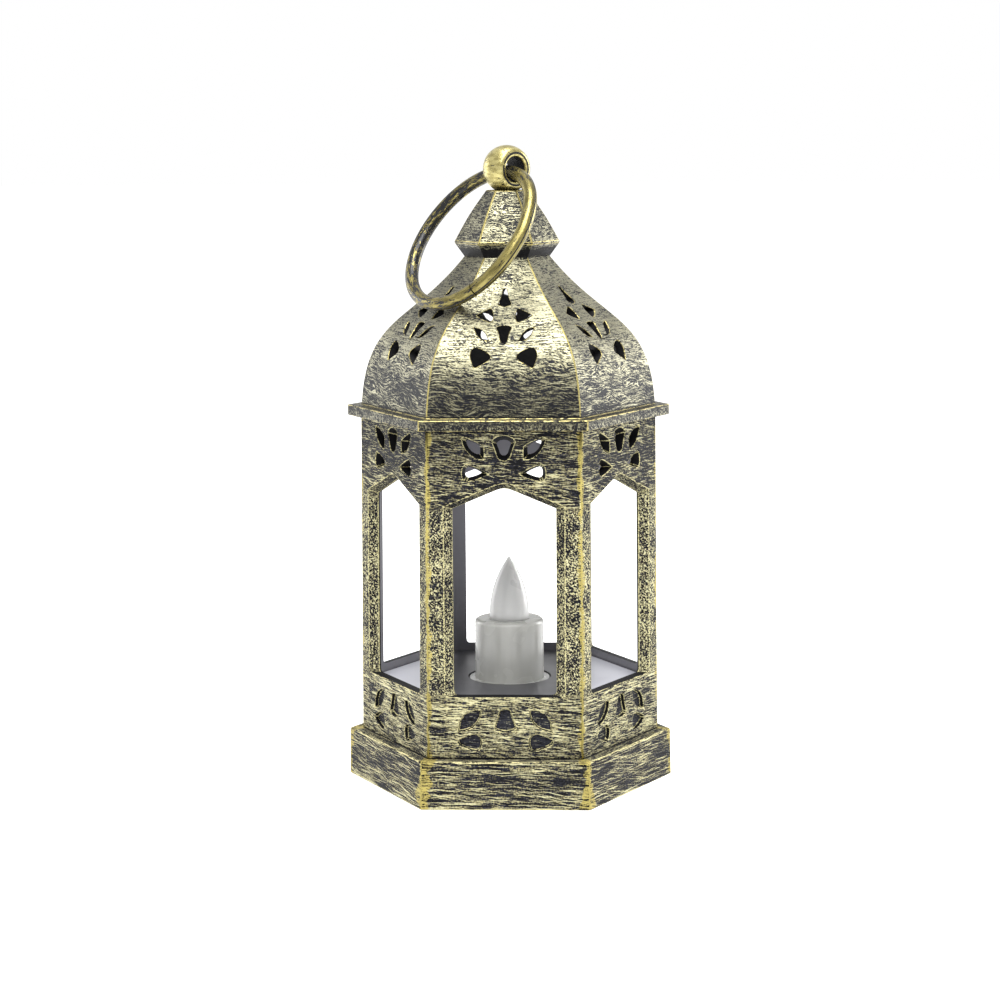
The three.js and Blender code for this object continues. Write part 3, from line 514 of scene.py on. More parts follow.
def painted(name, strokes, finish, golds=(PALE_GOLD, DULL_GOLD), joints=(), posts=None, wet_reach=0.0,
            fade=None, rim=0.5, coat=0.0, slate=SLATE, edging=EDGE_GOLD):
    """Dry-brushed plastic.

    strokes: their length, width, sway, slope and cover. finish: the gold's metallic share and roughness.
    golds: thick and thin. A joint is (z, reach) in millimetres, where parts meet or overhang: there the
    grey gets a painted shade, nearly black, and no gold. Posts give the band (low, high, side) in which the
    brush went up and down and left a mottled coat, at this distance from a panel's middle. Wet_reach is how
    far from a ridge the coat is solid. Fade is (low, high, change): how the cover changes upwards. Rim is
    the grain above which gold catches on the rounded edges, and edging its colour there. Coat is the weight
    of a satin lacquer, and slate the grey below.
    """
    material, tree, shader = paint(name)
    place, ridge_distance, height, across = grouped(tree, panel_place)
    brush_inputs = {"Place": place, **dict(zip(BRUSH_KEYS, strokes))}
    if fade:
        low, high, change = fade
        brush_inputs["Cover"] = ramp(height, low, high, strokes[4], strokes[4] + change)
    brushed, thick, hollow, grain, drift = grouped(tree, dry_brush, brush_inputs)
    if posts:
        low, high, side = posts
        mottled = grouped(tree, dry_brush, {"Place": place, **dict(zip(BRUSH_KEYS, POST_STROKES))})
        band = times(ramp(height, low - 1, low + 1), ramp(height, high + 1, high - 1))
        on_post = times(band, ramp(size_of(across), side - 0.5, side))
        brushed, thick, hollow = [
            add(tree, "ShaderNodeMix", {0: on_post, 2: first, 3: mottled[key]}).outputs[0]
            for first, key in zip((brushed, thick, hollow), STEPS)
        ]
    ridge = ramp(centred(drift, -0.5, centred(grain, 1.0, ridge_distance)), *RIDGE_LINE)
    wetted = centred(drift, -WET_WANDER * wet_reach, ridge_distance)
    wet = ramp(wetted, wet_reach, wet_reach * 0.8 - 0.01)
    wet = times(wet, ramp(grain, WET_GRAIN, WET_GRAIN + BREAK))
    edge, deep = [
        add(tree, "ShaderNodeAttribute", attribute_name=key).outputs["Fac"] for key in ("edge", "deep")
    ]
    worn = times(edge, ramp(grain, rim, rim + BREAK))
    # painted shade: measured against the grain, a face's depth mark takes gold away and darkens its grey; the
    # grain's hollows and the deepest faces turn nearly black
    dark = ramp(minus(deep, grain), *IN_SHADE)
    black = highest(hollow, ramp(deep, *DEEP_SHADOW))
    # painted shade where parts meet: a nearly black band without gold
    for z, reach in joints:
        band = ramp(centred(grain, reach * 2, size_of(minus(height, z))), reach, reach * 0.6)
        dark, black = highest(dark, band), highest(black, band)
    gold = times(highest(brushed, ridge, worn, wet), minus(1.0, dark))
    pale, dull = golds
    gold_colour = mixed(worn, mixed(thick, dull, pale), edging)
    gold_colour = mixed(highest(ridge, wet), gold_colour, WET_GOLD)
    slate_colour = mixed(black, mixed(dark, slate, SLATE_SHADE), SLATE_SHADOW)
    metal, rough = finish
    fill(shader, {
        "Base Color": mixed(gold, slate_colour, gold_colour), "Metallic": times(gold, metal),
        "Roughness": ramp(gold, 0, 1, SLATE_ROUGH, rough), "Specular IOR Level": PAINT_SHINE,
        "Coat Weight": coat, "Coat Roughness": LACQUER_ROUGH,
        "Normal": bumps(times_plus(gold, 0.3, grain), 0.7, PAINT_RELIEF),
    })
    return material


# %% [markdown]
# ## Bare plastic
#
# Inside, the mouldings are unpainted. Plain plastic is never one flat tone: it has a faint moulded
# texture, so a fine noise moves its roughness and its surface a little.

# %% Plain plastics and metals
MOULD_GRAIN, MOULD_FLOW, PLATING_GRAIN = 0.5, 12, 0.4  # sizes in millimetres


def moulded(name, colour, rough, clear=0.0, shine=0.5):
    material, tree, shader = paint(name)
    place = object_place(tree)
    fine = noise(place, scale=1 / MOULD_GRAIN)
    fill(shader, {
        "Base Color": mixed(noise(place, scale=1 / MOULD_FLOW), darker(colour, 0.85), colour),
        "Roughness": ramp(fine, 0.3, 0.7, rough - 0.05, rough + 0.05), "Specular IOR Level": shine,
        "Transmission Weight": clear, "Normal": bumps(fine, 0.4, 0.03),
    })
    return material


def plated(name, colour, rough):
    material, tree, shader = paint(name)
    fine = noise(object_place(tree), scale=1 / PLATING_GRAIN, detail=3)
    fill(shader, {
        "Base Color": mixed(fine, darker(colour, 0.8), colour), "Metallic": 1.0,
        "Roughness": ramp(fine, 0.3, 0.7, rough - 0.06, rough + 0.08),
    })
    return material


bare_grey = moulded("bare_grey", srgb(118, 117, 124), 0.4)
black_plastic = moulded("black_plastic", srgb(24, 24, 25), 0.6, shine=0.2)
board_green = moulded("board_green", srgb(42, 92, 60), 0.55)
clear_resin = moulded("clear_resin", srgb(246, 240, 214), 0.1, clear=0.9)
steel = plated("steel", srgb(196, 198, 202), 0.3)
print("materials so far:", len(bpy.data.materials))

# %% [markdown]
# ## Plinth
#
# The plinth is a low hexagonal moulding. Its corners are rounded by a fraction of a millimetre, and
# those roundings carry the brightest gold lines. A spin of six steps turns its section into the hexagon,
# and a bevel rounds the edges that a hand would touch.

# %% Plinth
PLINTH_CORNER = 33.0
PLINTH_DRAFT = 0.2
PLINTH_WALL = 2.0
DECK_THICK = 1.6
PAST = 1.0  # how far a cutting tool reaches past a surface
NEAR = 0.1  # a margin beside a surface
TOUCH = 0.01  # closer than this lies on it
DECK_HOLE = 19.63
DECK_INNER = 12  # the deck is spun open inside this, and then its hole is cut
BOSS = (2.6, 1.3)  # a boss of the cover's screws, and its hole
BOSS_PLACE = 26.07
BOSS_LOW = 2.8
LEG_PLACE = 23.03
RIB_CORNER = 27.8
RIB_WALL = 1.4
RIB_HEIGHT = 2.0
PLINTH_ROUND = 0.3

plinth_finish = painted("plinth_finish", (6.5, 0.16, 0.8, 0.2, 0.36), (0.25, 0.45), wet_reach=1.5)


def model_plinth():
    top = PLINTH_CORNER - PLINTH_DRAFT
    inside = PLINTH_WALL / FLAT
    bm = turned([
        (PLINTH_CORNER - inside, 0), (PLINTH_CORNER, 0), (top, deck), (RIB_CORNER, deck),
        (RIB_CORNER, deck + RIB_HEIGHT), (RIB_CORNER - RIB_WALL, deck + RIB_HEIGHT),
        (RIB_CORNER - RIB_WALL, deck), (DECK_INNER, deck), (DECK_INNER, deck - DECK_THICK),
        (top - inside, deck - DECK_THICK),
    ], SIDES)
    holes = [rod(DECK_HOLE, deck - DECK_THICK - PAST, deck + PAST, steps=96)]
    for k in range(3):
        angle = k * math.tau / 3
        boss = rod(BOSS[0], BOSS_LOW, deck - DECK_THICK / 2, distance=BOSS_PLACE, angle=angle)
        bm = combined(bm, boss, "UNION")
        low = deck - DECK_THICK
        holes.append(rod(BOSS[1], BOSS_LOW - PAST, low, distance=BOSS_PLACE, angle=angle))
        holes.append(rod(BOSS[1], low - PAST, deck + PAST, distance=LEG_PLACE, angle=angle + math.pi))
    bm = combined(bm, joined(holes), "DIFFERENCE")

    def outside(edge):
        return all(v.co.xy.length > top - PLINTH_ROUND for v in edge.verts)

    def below(face, middle):
        inner = middle.z < deck - NEAR and middle.xy.length < PLINTH_CORNER * FLAT - PLINTH_WALL + NEAR
        return inner or middle.z < TOUCH

    round_edges(bm, sharp_edges(bm, 20, outside), PLINTH_ROUND, 3)
    lined(bm, below)
    finished(bm, "plinth_moulding", "plinth", "lantern", [plinth_finish, bare_grey], hard=14)


model_plinth()

# %% [markdown]
# ## Body
#
# Six posts, six pointed windows and sixty petals are one moulding. The shell is spun first and its
# ridges rounded. Then all the openings are cut at once, and last the rims of the cuts are rounded.
# Cutting before rounding matters: a boolean through rounded rims would leave slivers.

# %% Body sizes
BODY_CORNER = 30.24
BODY_DRAFT = 0.54
BODY_WALL = 1.8
POST_WIDTH = 5.12
WINDOW_SILL = 12.5
WINDOW_HEADROOM = 11.1
WINDOW_RISE = 4.2
WINDOW_POINT = 1.5
WINDOW_ROUND = 1.0
REVEAL_DEPTH = 1.45
REVEAL_START = 0.3  # how far in front of the panel its tool starts
REVEAL = (1.7, 1.1, 0.2)  # its width at the sides, the head and the sill
UPPER_MOTIF = 5.5
LOWER_MOTIF = 5.9
RECESS_DEPTH = 0.8
RIDGE_ROUND = 0.35
RIM_ROUND = 0.13
INSIDE = 0.06  # a face deeper than this lies inside an opening
# these also set a painted shade: the more of it, the darker a face's grey, down to nearly black
RECESS_DEEP, SILL_DEEP, HEAD_DEEP, WALL_DEEP = 0.8, 0.45, 0.66, 1.0  # how little paint reaches a face

body_height = body_top - deck
body_tilt = math.atan(BODY_DRAFT * FLAT / body_height)

# %% Tools for cutting a panel
PETAL_STEPS = 3


def arc(a, b, c, steps=4):
    """Points of a curve from a to c that bends towards b, without its first point."""
    ends = [Vector((*p, 0)) for p in (a, c)]
    bend = Vector((*b, 0))
    handles = [e + (bend - e) * 2 / 3 for e in ends]
    points = geometry.interpolate_bezier(ends[0], handles[0], handles[1], ends[1], steps + 1)
    return [(p.x, p.y) for p in points[1:]]


def window_outline(side, head, sill):
    half = BODY_CORNER / 2 - POST_WIDTH + side
    foot = WINDOW_SILL - sill
    point = body_height - WINDOW_HEADROOM + head
    shoulder = body_height - WINDOW_HEADROOM - WINDOW_RISE + head / 2
    blunt = point - WINDOW_RISE * WINDOW_POINT / half
    outline = arc((-half, foot + WINDOW_ROUND), (-half, foot), (-half + WINDOW_ROUND, foot))
    outline += [(half - WINDOW_ROUND, foot)]
    outline += arc((half - WINDOW_ROUND, foot), (half, foot), (half, foot + WINDOW_ROUND))
    outline += [(half, shoulder), (WINDOW_POINT, blunt)]
    outline += arc((WINDOW_POINT, blunt), (0, point), (-WINDOW_POINT, blunt))
    return outline + [(-half, shoulder), (-half, foot + WINDOW_ROUND)]


def lofted(outlines):
    """A closed solid through several outlines of (across, up) points, each at its own depth."""
    bm = bmesh.new()
    loops = []
    for depth, outline in outlines:
        verts = [bm.verts.new((x, depth, z)) for x, z in outline]
        loops.append([bm.edges.new(pair) for pair in zip(verts, verts[1:] + verts[:1])])
    for near, far in zip(loops, loops[1:]):
        bmesh.ops.bridge_loops(bm, edges=near + far)
    bmesh.ops.holes_fill(bm, edges=loops[0] + loops[-1])
    bmesh.ops.recalc_face_normals(bm, faces=bm.faces)
    return bm


def prism(outline, near, far, up, narrow, depth):
    """A petal's cutting tool, from one depth to another; a negative depth lies in front.

    The hole narrows towards its middle, to this share of its size at the depth given.
    """
    middle = sum((Vector(p) for p in outline), Vector((0, 0))) / len(outline)
    sections = []
    for place in (near, far):
        share = 1 + (narrow - 1) * place / depth
        points = [middle + (Vector(p) - middle) * share for p in outline]
        sections.append((place, [(x, z + up) for x, z in points]))
    return lofted(sections)


def closed(*rows):
    """A closed outline of curves; each row is a curve's start and the point that it bends towards."""
    outline = []
    for row, after in zip(rows, rows[1:] + rows[:1]):
        outline += arc(row[:2], row[2:], after[:2], PETAL_STEPS)
    return outline


def with_mirror(outline):
    return [outline, [(-x, z) for x, z in reversed(outline)]]


# %% Petals, given from their base line as on the CAD model
upper_petals = [closed(
    (0, 4.49, 1.72, 4.49), (2.26, 3.36, 1.62, 1.77), (1.19, 0.31, 0.64, -0.49), (0, -0.37, -0.64, -0.49),
    (-1.19, 0.31, -1.62, 1.77), (-2.26, 3.36, -1.72, 4.49),
)]
upper_petals += with_mirror(closed(
    (-8.06, 3.9, -7.95, 4.47), (-6.98, 4.01, -4.62, 3.11), (-3.86, 2.32, -3.65, 1.08),
    (-3.86, -0.17, -5.26, -0.17), (-6.34, 0.74, -7.85, 2.09),
))
upper_petals += with_mirror(closed(
    (-8.11, -2.7, -7.99, -1.12), (-7.14, -1.01, -5.09, -1.57), (-2.94, -2.93, -5.09, -4.06),
    (-7.14, -4.39, -8.11, -4.28),
))
lower_petals = [closed(
    (0, 4.27, 1.12, 4.27), (1.29, 3.04, 1.57, 1.81), (2.02, 0.8, 2.35, -0.1), (1.34, -0.26, 0, -0.82),
    (-1.34, -0.26, -2.35, -0.1), (-2.02, 0.8, -1.57, 1.81), (-1.29, 3.04, -1.12, 4.27),
)]
lower_petals += with_mirror(closed(
    (-9.25, -0.5, -9.14, 3.03), (-6.68, 3.7, -5.44, 4.15), (-4.66, 3.76, -4.55, 1.91),
    (-6.34, 0.4, -7.91, -0.44),
))
lower_petals += with_mirror(closed(
    (-9.38, -2.39, -8.82, -1.61), (-7.36, -1.22, -5.57, -0.27), (-4.73, -1.61, -4.22, -2.95),
    (-5.01, -4.07, -5.68, -4.63), (-7.47, -3.74, -9.26, -3.18),
))
dome_petals = [
    closed(
        (0, 24.19, 0.41, 24.19), (0.5, 23.46, 0.61, 22.41), (1.31, 21.25, 1.31, 20.83),
        (0.91, 20.83, 0, 20.31), (-0.91, 20.83, -1.31, 20.83), (-1.31, 21.25, -0.61, 22.41),
        (-0.5, 23.46, -0.41, 24.19),
    ),
    closed(
        (-1.01, 17.27, 0, 17.43), (1.01, 17.27, 1.51, 17.27), (1.42, 16.75, 0.91, 16.01),
        (0.76, 14.86, 0.61, 14.02), (0, 14.02, -0.61, 14.02), (-0.76, 14.86, -0.91, 16.01),
        (-1.42, 16.75, -1.51, 17.27),
    ),
]
dome_petals += with_mirror(closed(
    (-5.58, 19.15, -4.05, 19.89), (-2.85, 20.41, -2.44, 20.46), (-2.29, 19.94, -1.93, 19.1),
    (-2.19, 18.47, -2.34, 17.84), (-2.85, 17.89, -4.26, 18.26),
))
dome_petals += with_mirror(closed((-5.94, 17.07, -3.73, 17.07), (-2.82, 14.54, -5.04, 14.34)))
dome_petals += with_mirror(closed(
    (-6.46, 11.92, -6.36, 13.5), (-5.24, 13.45, -3.43, 12.97), (-2.57, 12.03, -2.21, 11.4),
    (-2.92, 10.98, -4.24, 10.24), (-5.35, 9.61, -5.75, 9.4), (-5.9, 10.14, -6.36, 11.19),
))
print("petals on a panel:", len(upper_petals), len(lower_petals), len(dome_petals))

# %% Body
body_finish = painted(
    "body_finish", (3.5, 0.14, 0.8, 0.25, 0.46), (0.2, 0.45), wet_reach=0.6,
    # painted shade at the foot and under the flange, and less gold towards the top as a painted shade on the
    # upper panels
    joints=((deck, 0.5), (body_top, 0.6)), fade=(deck + 16, deck + 50, -0.13),
    posts=(deck + WINDOW_SILL, body_top - WINDOW_HEADROOM - WINDOW_RISE, BODY_CORNER / 2 - POST_WIDTH),
)


def body_corner(z):
    """The body's corner radius at this height."""
    return BODY_CORNER - BODY_DRAFT * (z - deck) / body_height


def on_panels(bm, tilt, foot, up):
    """Six copies of a tool drawn on a flat sheet, set onto the six panels."""
    copies = []
    for k in range(SIDES):
        copy = bm.copy()
        place = (
            Matrix.Rotation(k * TURN, 4, "Z") @ Matrix.Translation((0, -foot, up))
            @ Matrix.Rotation(-tilt, 4, "X")
        )
        bmesh.ops.transform(copy, matrix=place, verts=copy.verts)
        copies.append(copy)
    bm.free()
    return copies


def panel_normal(point):
    """The direction that the panel under this point faces."""
    k = math.floor(math.atan2(point.y, point.x) / TURN)
    return Vector((math.cos((k + 0.5) * TURN), math.sin((k + 0.5) * TURN), 0))


def faces_out(face):
    return face.normal.dot(panel_normal(face.calc_center_median())) > 0.12


def faces_in(face):
    return face.normal.dot(panel_normal(face.calc_center_median())) < -0.3


def mark_depths(bm, surface):
    """Marks how little paint reaches a face inside an opening, and so how dark a painted shade it gets; a
    head, facing down, gets more than a sill.
    """
    edge, deep = layer(bm, "edge"), layer(bm, "deep")
    for face in bm.faces:
        middle = face.calc_center_median()
        normal = panel_normal(middle)
        facing = face.normal.dot(normal)
        if face[edge] > 0 or middle.dot(normal) > surface(middle.z) - INSIDE:
            continue
        if facing > 0.95:
            face[deep] = RECESS_DEEP
        elif facing > 0.3 and deck + WINDOW_SILL - 0.5 < middle.z < body_top - WINDOW_HEADROOM + 0.8:
            face[deep] = SILL_DEEP if face.normal.z > 0.3 else HEAD_DEEP if face.normal.z < -0.3 else 0.0
        else:
            face[deep] = SILL_DEEP if face.normal.x > 0.5 and normal.x < -0.5 else WALL_DEEP


def model_body():
    inside = BODY_WALL / FLAT
    top_corner = BODY_CORNER - BODY_DRAFT
    bm = turned([
        (BODY_CORNER - inside, deck), (BODY_CORNER, deck), (top_corner, body_top),
        (top_corner - inside, body_top),
    ], SIDES)

    def ridge(edge):
        return edge.calc_length() > body_height / 2 and edge.verts[0].co.xy.length > BODY_CORNER - BODY_WALL

    round_edges(bm, sharp_edges(bm, 20, ridge), RIDGE_ROUND, 3)
    clear = window_outline(0, 0, 0)
    wide = window_outline(*[w * (1 + REVEAL_START / REVEAL_DEPTH) for w in REVEAL])
    tools = [lofted([(-REVEAL_START, wide), (REVEAL_DEPTH, clear), (BODY_WALL + PAST, clear)])]
    up = body_height - UPPER_MOTIF
    tools += [prism(p, -PAST, BODY_WALL + PAST, up, 0.6, BODY_WALL) for p in upper_petals]
    tools += [prism(p, -PAST, RECESS_DEPTH, LOWER_MOTIF, 0.92, RECESS_DEPTH) for p in lower_petals]
    placed = [copy for tool in tools for copy in on_panels(tool, body_tilt, BODY_CORNER * FLAT, deck)]
    bm = combined(bm, joined(placed), "DIFFERENCE")

    def rim(edge):
        between = deck + 0.5 < edge.verts[0].co.z < body_top - 0.5
        return between and any(faces_out(f) for f in edge.link_faces)

    round_edges(bm, sharp_edges(bm, 30, rim), RIM_ROUND)
    mark_depths(bm, lambda z: body_corner(z) * FLAT)
    lined(bm, lambda face, middle: faces_in(face))
    finished(
        bm, "body_moulding", "lantern_body", "lantern", [body_finish, bare_grey], hard=14
    )


model_body()

# %% [markdown]
# ## Roof
#
# A thin flange carries the ogee dome: it swells out at the foot and sweeps in to a narrow neck.
# One Bezier curve draws that side, six spin steps make it a hexagon, and the petals are cut straight
# through each panel as a slide in the mould would leave them.

# %% Roof sizes
FLANGE_CORNER = 32.35
FLANGE_THICK = 2.16
DOME_FOOT = 29.55
DOME_WALL = 1.6
SWELL = (28.4, 18.0)
SHOULDER = (19.5, 16.1)
NECK_CORNER = 8.54
NECK_COLLAR = 2.0
PLUG_HOLE = 5.95
SPIGOT = (27.3, 26.1, 1.2)  # outer and inner corner radius, and depth
ROOF_ROUND = 0.2
PETAL_ROUND = 0.12
PETAL_FOOT = 8  # the petals lie higher than this above the flange

flange_top = body_top + FLANGE_THICK

# %% Roof
# darker golds than the body's: partly a more metallic paint, and partly a painted shade for the dark
# surroundings that the dome reflects
OLIVE_GOLDS = (srgb(132, 129, 106), srgb(76, 72, 52))
roof_finish = painted(
    "roof_finish", (3.2, 0.16, 4.0, 0.4, 0.42), (0.85, 0.34), golds=OLIVE_GOLDS,
    # painted shade where the dome meets the flange and under the flange; more gold towards the top, which is
    # partly a painted shade at the dome's foot and partly a painted highlight higher up
    joints=((flange_top + 0.3, 0.2), (body_top, 0.2)),
    fade=(flange_top + 4, flange_top + 15, 0.22),
    posts=(body_top - 3, flange_top - 0.8, -1),
    rim=0.48, coat=0.12, slate=ROOF_SLATE, edging=ROOF_EDGE,
)


def dome_side(steps, set_in=0.0):
    """Points up the dome's side, moved in by a wall."""
    side = curve(
        (DOME_FOOT, flange_top), (SWELL[0], flange_top + SWELL[1]),
        (SHOULDER[0], flange_top + SHOULDER[1]), (NECK_CORNER, neck), steps,
    )
    points = []
    for i, (r, z) in enumerate(side):
        before, after = side[max(i - 1, 0)], side[min(i + 1, steps)]
        along = Vector((after[0] - before[0], after[1] - before[1])).normalized()
        points.append((r - along.y * set_in, z + along.x * set_in))
    return points


def mark_roof(bm):
    """The outside and the petals' walls are painted, the walls in a nearly black painted shade; the lining
    and the spigot are not, and their black plastic, darker than the bare grey inside the body, is a painted
    shade too.
    """
    edge, deep = layer(bm, "edge"), layer(bm, "deep")
    for face in bm.faces:
        middle = face.calc_center_median()
        in_neck = middle.z > flange_top + 1 and middle.xy.length < PLUG_HOLE
        inner = middle.z < body_top or faces_in(face) or in_neck
        face.material_index = int(inner and middle.z < neck - NEAR)
        if middle.z > flange_top + PETAL_FOOT and not faces_out(face) and face[edge] == 0:
            face[deep] = WALL_DEEP


def model_roof():
    lining = [
        (r, z) for r, z in dome_side(12, DOME_WALL / FLAT)
        if r > PLUG_HOLE and flange_top < z < neck - NECK_COLLAR
    ]
    spigot_out, spigot_in, spigot_depth = SPIGOT
    bm = turned([
        (spigot_in, body_top - spigot_depth), (spigot_out, body_top - spigot_depth), (spigot_out, body_top),
        (FLANGE_CORNER, body_top), (FLANGE_CORNER, flange_top), *dome_side(90), (PLUG_HOLE, neck),
        (PLUG_HOLE, neck - NECK_COLLAR), *reversed(lining), (spigot_in, flange_top),
    ], SIDES)

    def on_ridge(edge):
        turns = [math.atan2(v.co.y, v.co.x) / TURN for v in edge.verts]
        at_corner = all(abs(t - round(t)) < 0.01 for t in turns)
        a, b = (v.co for v in edge.verts)
        outside = all(f.normal.dot(Vector((a.x, a.y, 0))) > 0 for f in edge.link_faces)
        return at_corner and outside and abs(a.z - b.z) > 0.05 and min(a.z, b.z) > flange_top - NEAR

    def on_flange(edge):
        return all(v.co.xy.length > FLANGE_CORNER * FLAT for v in edge.verts)

    round_edges(bm, sharp_edges(bm, 10, lambda e: on_ridge(e) or on_flange(e)), ROOF_ROUND)
    reach = DOME_FOOT - PLUG_HOLE
    tools = [prism(p, -PAST, reach, flange_top, 0.9, reach) for p in dome_petals]
    placed = [copy for tool in tools for copy in on_panels(tool, 0, DOME_FOOT, 0)]
    bm = combined(bm, joined(placed), "DIFFERENCE")

    def rim(edge):
        between = flange_top + PETAL_FOOT < min(v.co.z for v in edge.verts) < neck - 1
        return between and any(faces_out(f) for f in edge.link_faces)

    round_edges(bm, sharp_edges(bm, 35, rim), PETAL_ROUND)
    mark_roof(bm)
    finished(bm, "roof_moulding", "roof", "lantern", [roof_finish, black_plastic], hard=14)


model_roof()

# %% [markdown]
# ## Cap
#
# The cap is a steep little pyramid with an undercut rim. Its faces bulge a little, as moulded faces do
# when the paint is thick, so its side is drawn with a curve and not with a straight line.

# %% Cap
CAP_RIM = 10.52
CAP_TOP_CORNER = 4.12
CAP_UNDERCUT = 2.76
CAP_EDGE = 0.2
CAP_ROUND = 0.25
CAP_BULGE = 0.3
PLUG_CORNER = 5.6
PLUG_DEPTH = 3.0
PLUG_CORE = 2.83
STEM_HOLE = 2.1
STEM_DEPTH = 4.0

cap_rim = neck + CAP_UNDERCUT
cap_finish = painted(
    "cap_finish", (1.6, 0.15, 4.0, 0.5, 0.52), (0.85, 0.36), golds=OLIVE_GOLDS,
    # painted shade under the cap's undercut rim
    joints=((neck + 0.9, 1.7),), rim=0.45, coat=0.1, slate=ROOF_SLATE, edging=ROOF_EDGE,
)


def model_cap():
    rim = (CAP_RIM, cap_rim + CAP_EDGE)
    middle = ((CAP_RIM + CAP_TOP_CORNER) / 2 + CAP_BULGE, (cap_rim + cap_top) / 2 + CAP_BULGE)
    side = curve(rim, middle, middle, (CAP_TOP_CORNER, cap_top), 8)
    bm = turned([
        (PLUG_CORE, neck - PLUG_DEPTH), (PLUG_CORNER, neck - PLUG_DEPTH), (PLUG_CORNER, neck),
        (NECK_CORNER, neck), (CAP_RIM, cap_rim), *side, (0, cap_top), (0, cap_rim), (PLUG_CORE, cap_rim),
    ], SIDES)
    bm = combined(bm, rod(STEM_HOLE, cap_top - STEM_DEPTH, cap_top + PAST), "DIFFERENCE")

    def outer(edge):
        return all(v.co.z > cap_rim - NEAR and v.co.xy.length > PLUG_CORE + NEAR for v in edge.verts)

    round_edges(bm, sharp_edges(bm, 18, outer), CAP_ROUND)
    lined(bm, lambda face, middle: middle.z <= neck - TOUCH)
    finished(bm, "cap_moulding", "roof_cap", "lantern", [cap_finish, bare_grey], hard=14)


model_cap()

# %% [markdown]
# ## Hanging eye
#
# The eye is a ball with two flats and a rounded bore. Drawn about the axis of its bore it is one
# profile, which a spin makes round; its foot is then cut level and its stem joined on.

# %% Hanging eye
EYE_RADIUS = 4.72
EYE_SINK = 0.6
EYE_FLAT = 2.85
BORE_RADIUS = 2.48
BORE_ROUND = 0.5
FLAT_ROUND = 0.35
BALL_STEPS = 28
BORE_ANGLE = math.radians(-47)
STEM_RADIUS = 1.8
STEM_PLAY = 0.05

eye_middle = eye_top - EYE_RADIUS

BLACK_BASE = srgb(20, 20, 21)
EYE_GOLDS = (srgb(146, 136, 86), srgb(181, 171, 115))
GOLD_METAL = 0.85
GOLD_ROUGH = 0.3
GOLD_SHINE = 0.3
GOLD_RELIEF = 0.06  # in millimetres


def gold_plastic(name, place_of, stretch, black, golds, line=None):
    """Plastic painted all over in gold, rubbed through to the black in streaks.

    place_of gives the coordinates in millimetres and what they add to the streaks' level, stretch is how
    the streaks are drawn out along them, and black the level under which one shows. line gives a mask of
    the parting line.
    """
    material, tree, shader = paint(name)
    place, level = place_of(tree)
    worn = noise(stretched(place, stretch), detail=4, roughness=0.62)
    fine, tone = [
        noise(stretched(place, tuple(v * share for v in stretch), shift))
        for share, shift in ((3.5, (5, 1, 8)), (0.8, (3, 7, 2)))
    ]
    gold = ramp(centred(fine, 0.35, plus(worn, level)), black - 0.012, black + 0.012)
    if line:
        gold = times(gold, line(place))
    fill(shader, {
        "Base Color": mixed(gold, BLACK_BASE, mixed(ramp(tone, 0.36, 0.62), *golds)),
        "Metallic": times(gold, GOLD_METAL), "Specular IOR Level": GOLD_SHINE,
        "Roughness": ramp(fine, 0.3, 0.7, GOLD_ROUGH - 0.06, GOLD_ROUGH + 0.06),
        "Normal": bumps(times_plus(gold, 0.5, fine), 0.4, GOLD_RELIEF),
    })
    return material


eye_gold = gold_plastic("eye_gold", lambda tree: (object_place(tree), 0.0), (0.9, 0.9, 2.2), 0.35, EYE_GOLDS)


def model_eye():
    flat_radius = math.sqrt(EYE_RADIUS ** 2 - EYE_FLAT ** 2)
    swing = math.acos(EYE_FLAT / EYE_RADIUS) + math.radians(4)
    angles = [swing + (math.pi - 2 * swing) * i / BALL_STEPS for i in range(BALL_STEPS + 1)]
    ball = [(EYE_RADIUS * math.sin(a), EYE_RADIUS * math.cos(a)) for a in angles]
    upper = [*quarter(BORE_RADIUS, EYE_FLAT, BORE_ROUND, BORE_ROUND, 5), (flat_radius - FLAT_ROUND, EYE_FLAT)]
    lower = [(r, -z) for r, z in reversed(upper)]
    bm = turned([*upper, *ball, *lower], 72)
    bmesh.ops.rotate(bm, matrix=Matrix.Rotation(math.pi / 2, 3, "Y"), verts=bm.verts)
    foot = EYE_SINK - EYE_RADIUS
    level = bmesh.ops.bisect_plane(
        bm, geom=bm.verts[:] + bm.edges[:] + bm.faces[:], plane_co=(0, 0, foot), plane_no=(0, 0, -1),
        clear_outer=True,
    )
    bmesh.ops.holes_fill(bm, edges=[e for e in level["geom_cut"] if isinstance(e, bmesh.types.BMEdge)])
    bm = combined(bm, rod(STEM_RADIUS, foot - STEM_DEPTH + STEM_PLAY, foot + PAST / 2), "UNION")
    lined(bm, lambda face, middle: middle.yz.length < BORE_RADIUS + 0.02)
    place = Matrix.Translation((0, 0, eye_middle)) @ Matrix.Rotation(BORE_ANGLE, 4, "Z")
    bmesh.ops.transform(bm, matrix=place, verts=bm.verts)
    finished(bm, "eye_moulding", "hanging_eye", "lantern", [eye_gold, black_plastic], hard=40)


model_eye()

# %% [markdown]
# ## Carry ring
#
# The ring is sprung through the eye by one split and leans against the dome. Its section is a circle
# with a fine parting groove along the outer and inner equator. It is spun a hair less than a full turn,
# and the lean is read from the frame: the ring's lowest point tells it.

# %% Carry ring
RING_RADIUS = 15.5
WIRE_RADIUS = 1.34
RING_DROP = 0.6
RING_ANGLE = math.radians(-51)
RING_SPLIT = 0.25
SPLIT_PLACE = math.radians(42)
GROOVE = (0.12, 0.07)  # half its width, and its depth
WIRE_POINTS = 9  # on each quarter of the wire's section
RING_STEPS = 120
RING_GOLDS = (srgb(99, 91, 53), srgb(139, 129, 78))
SIDE_CHANGE = 0.1
PARTING = (0.1, 0.2)  # from black to gold beside the parting line, in millimetres

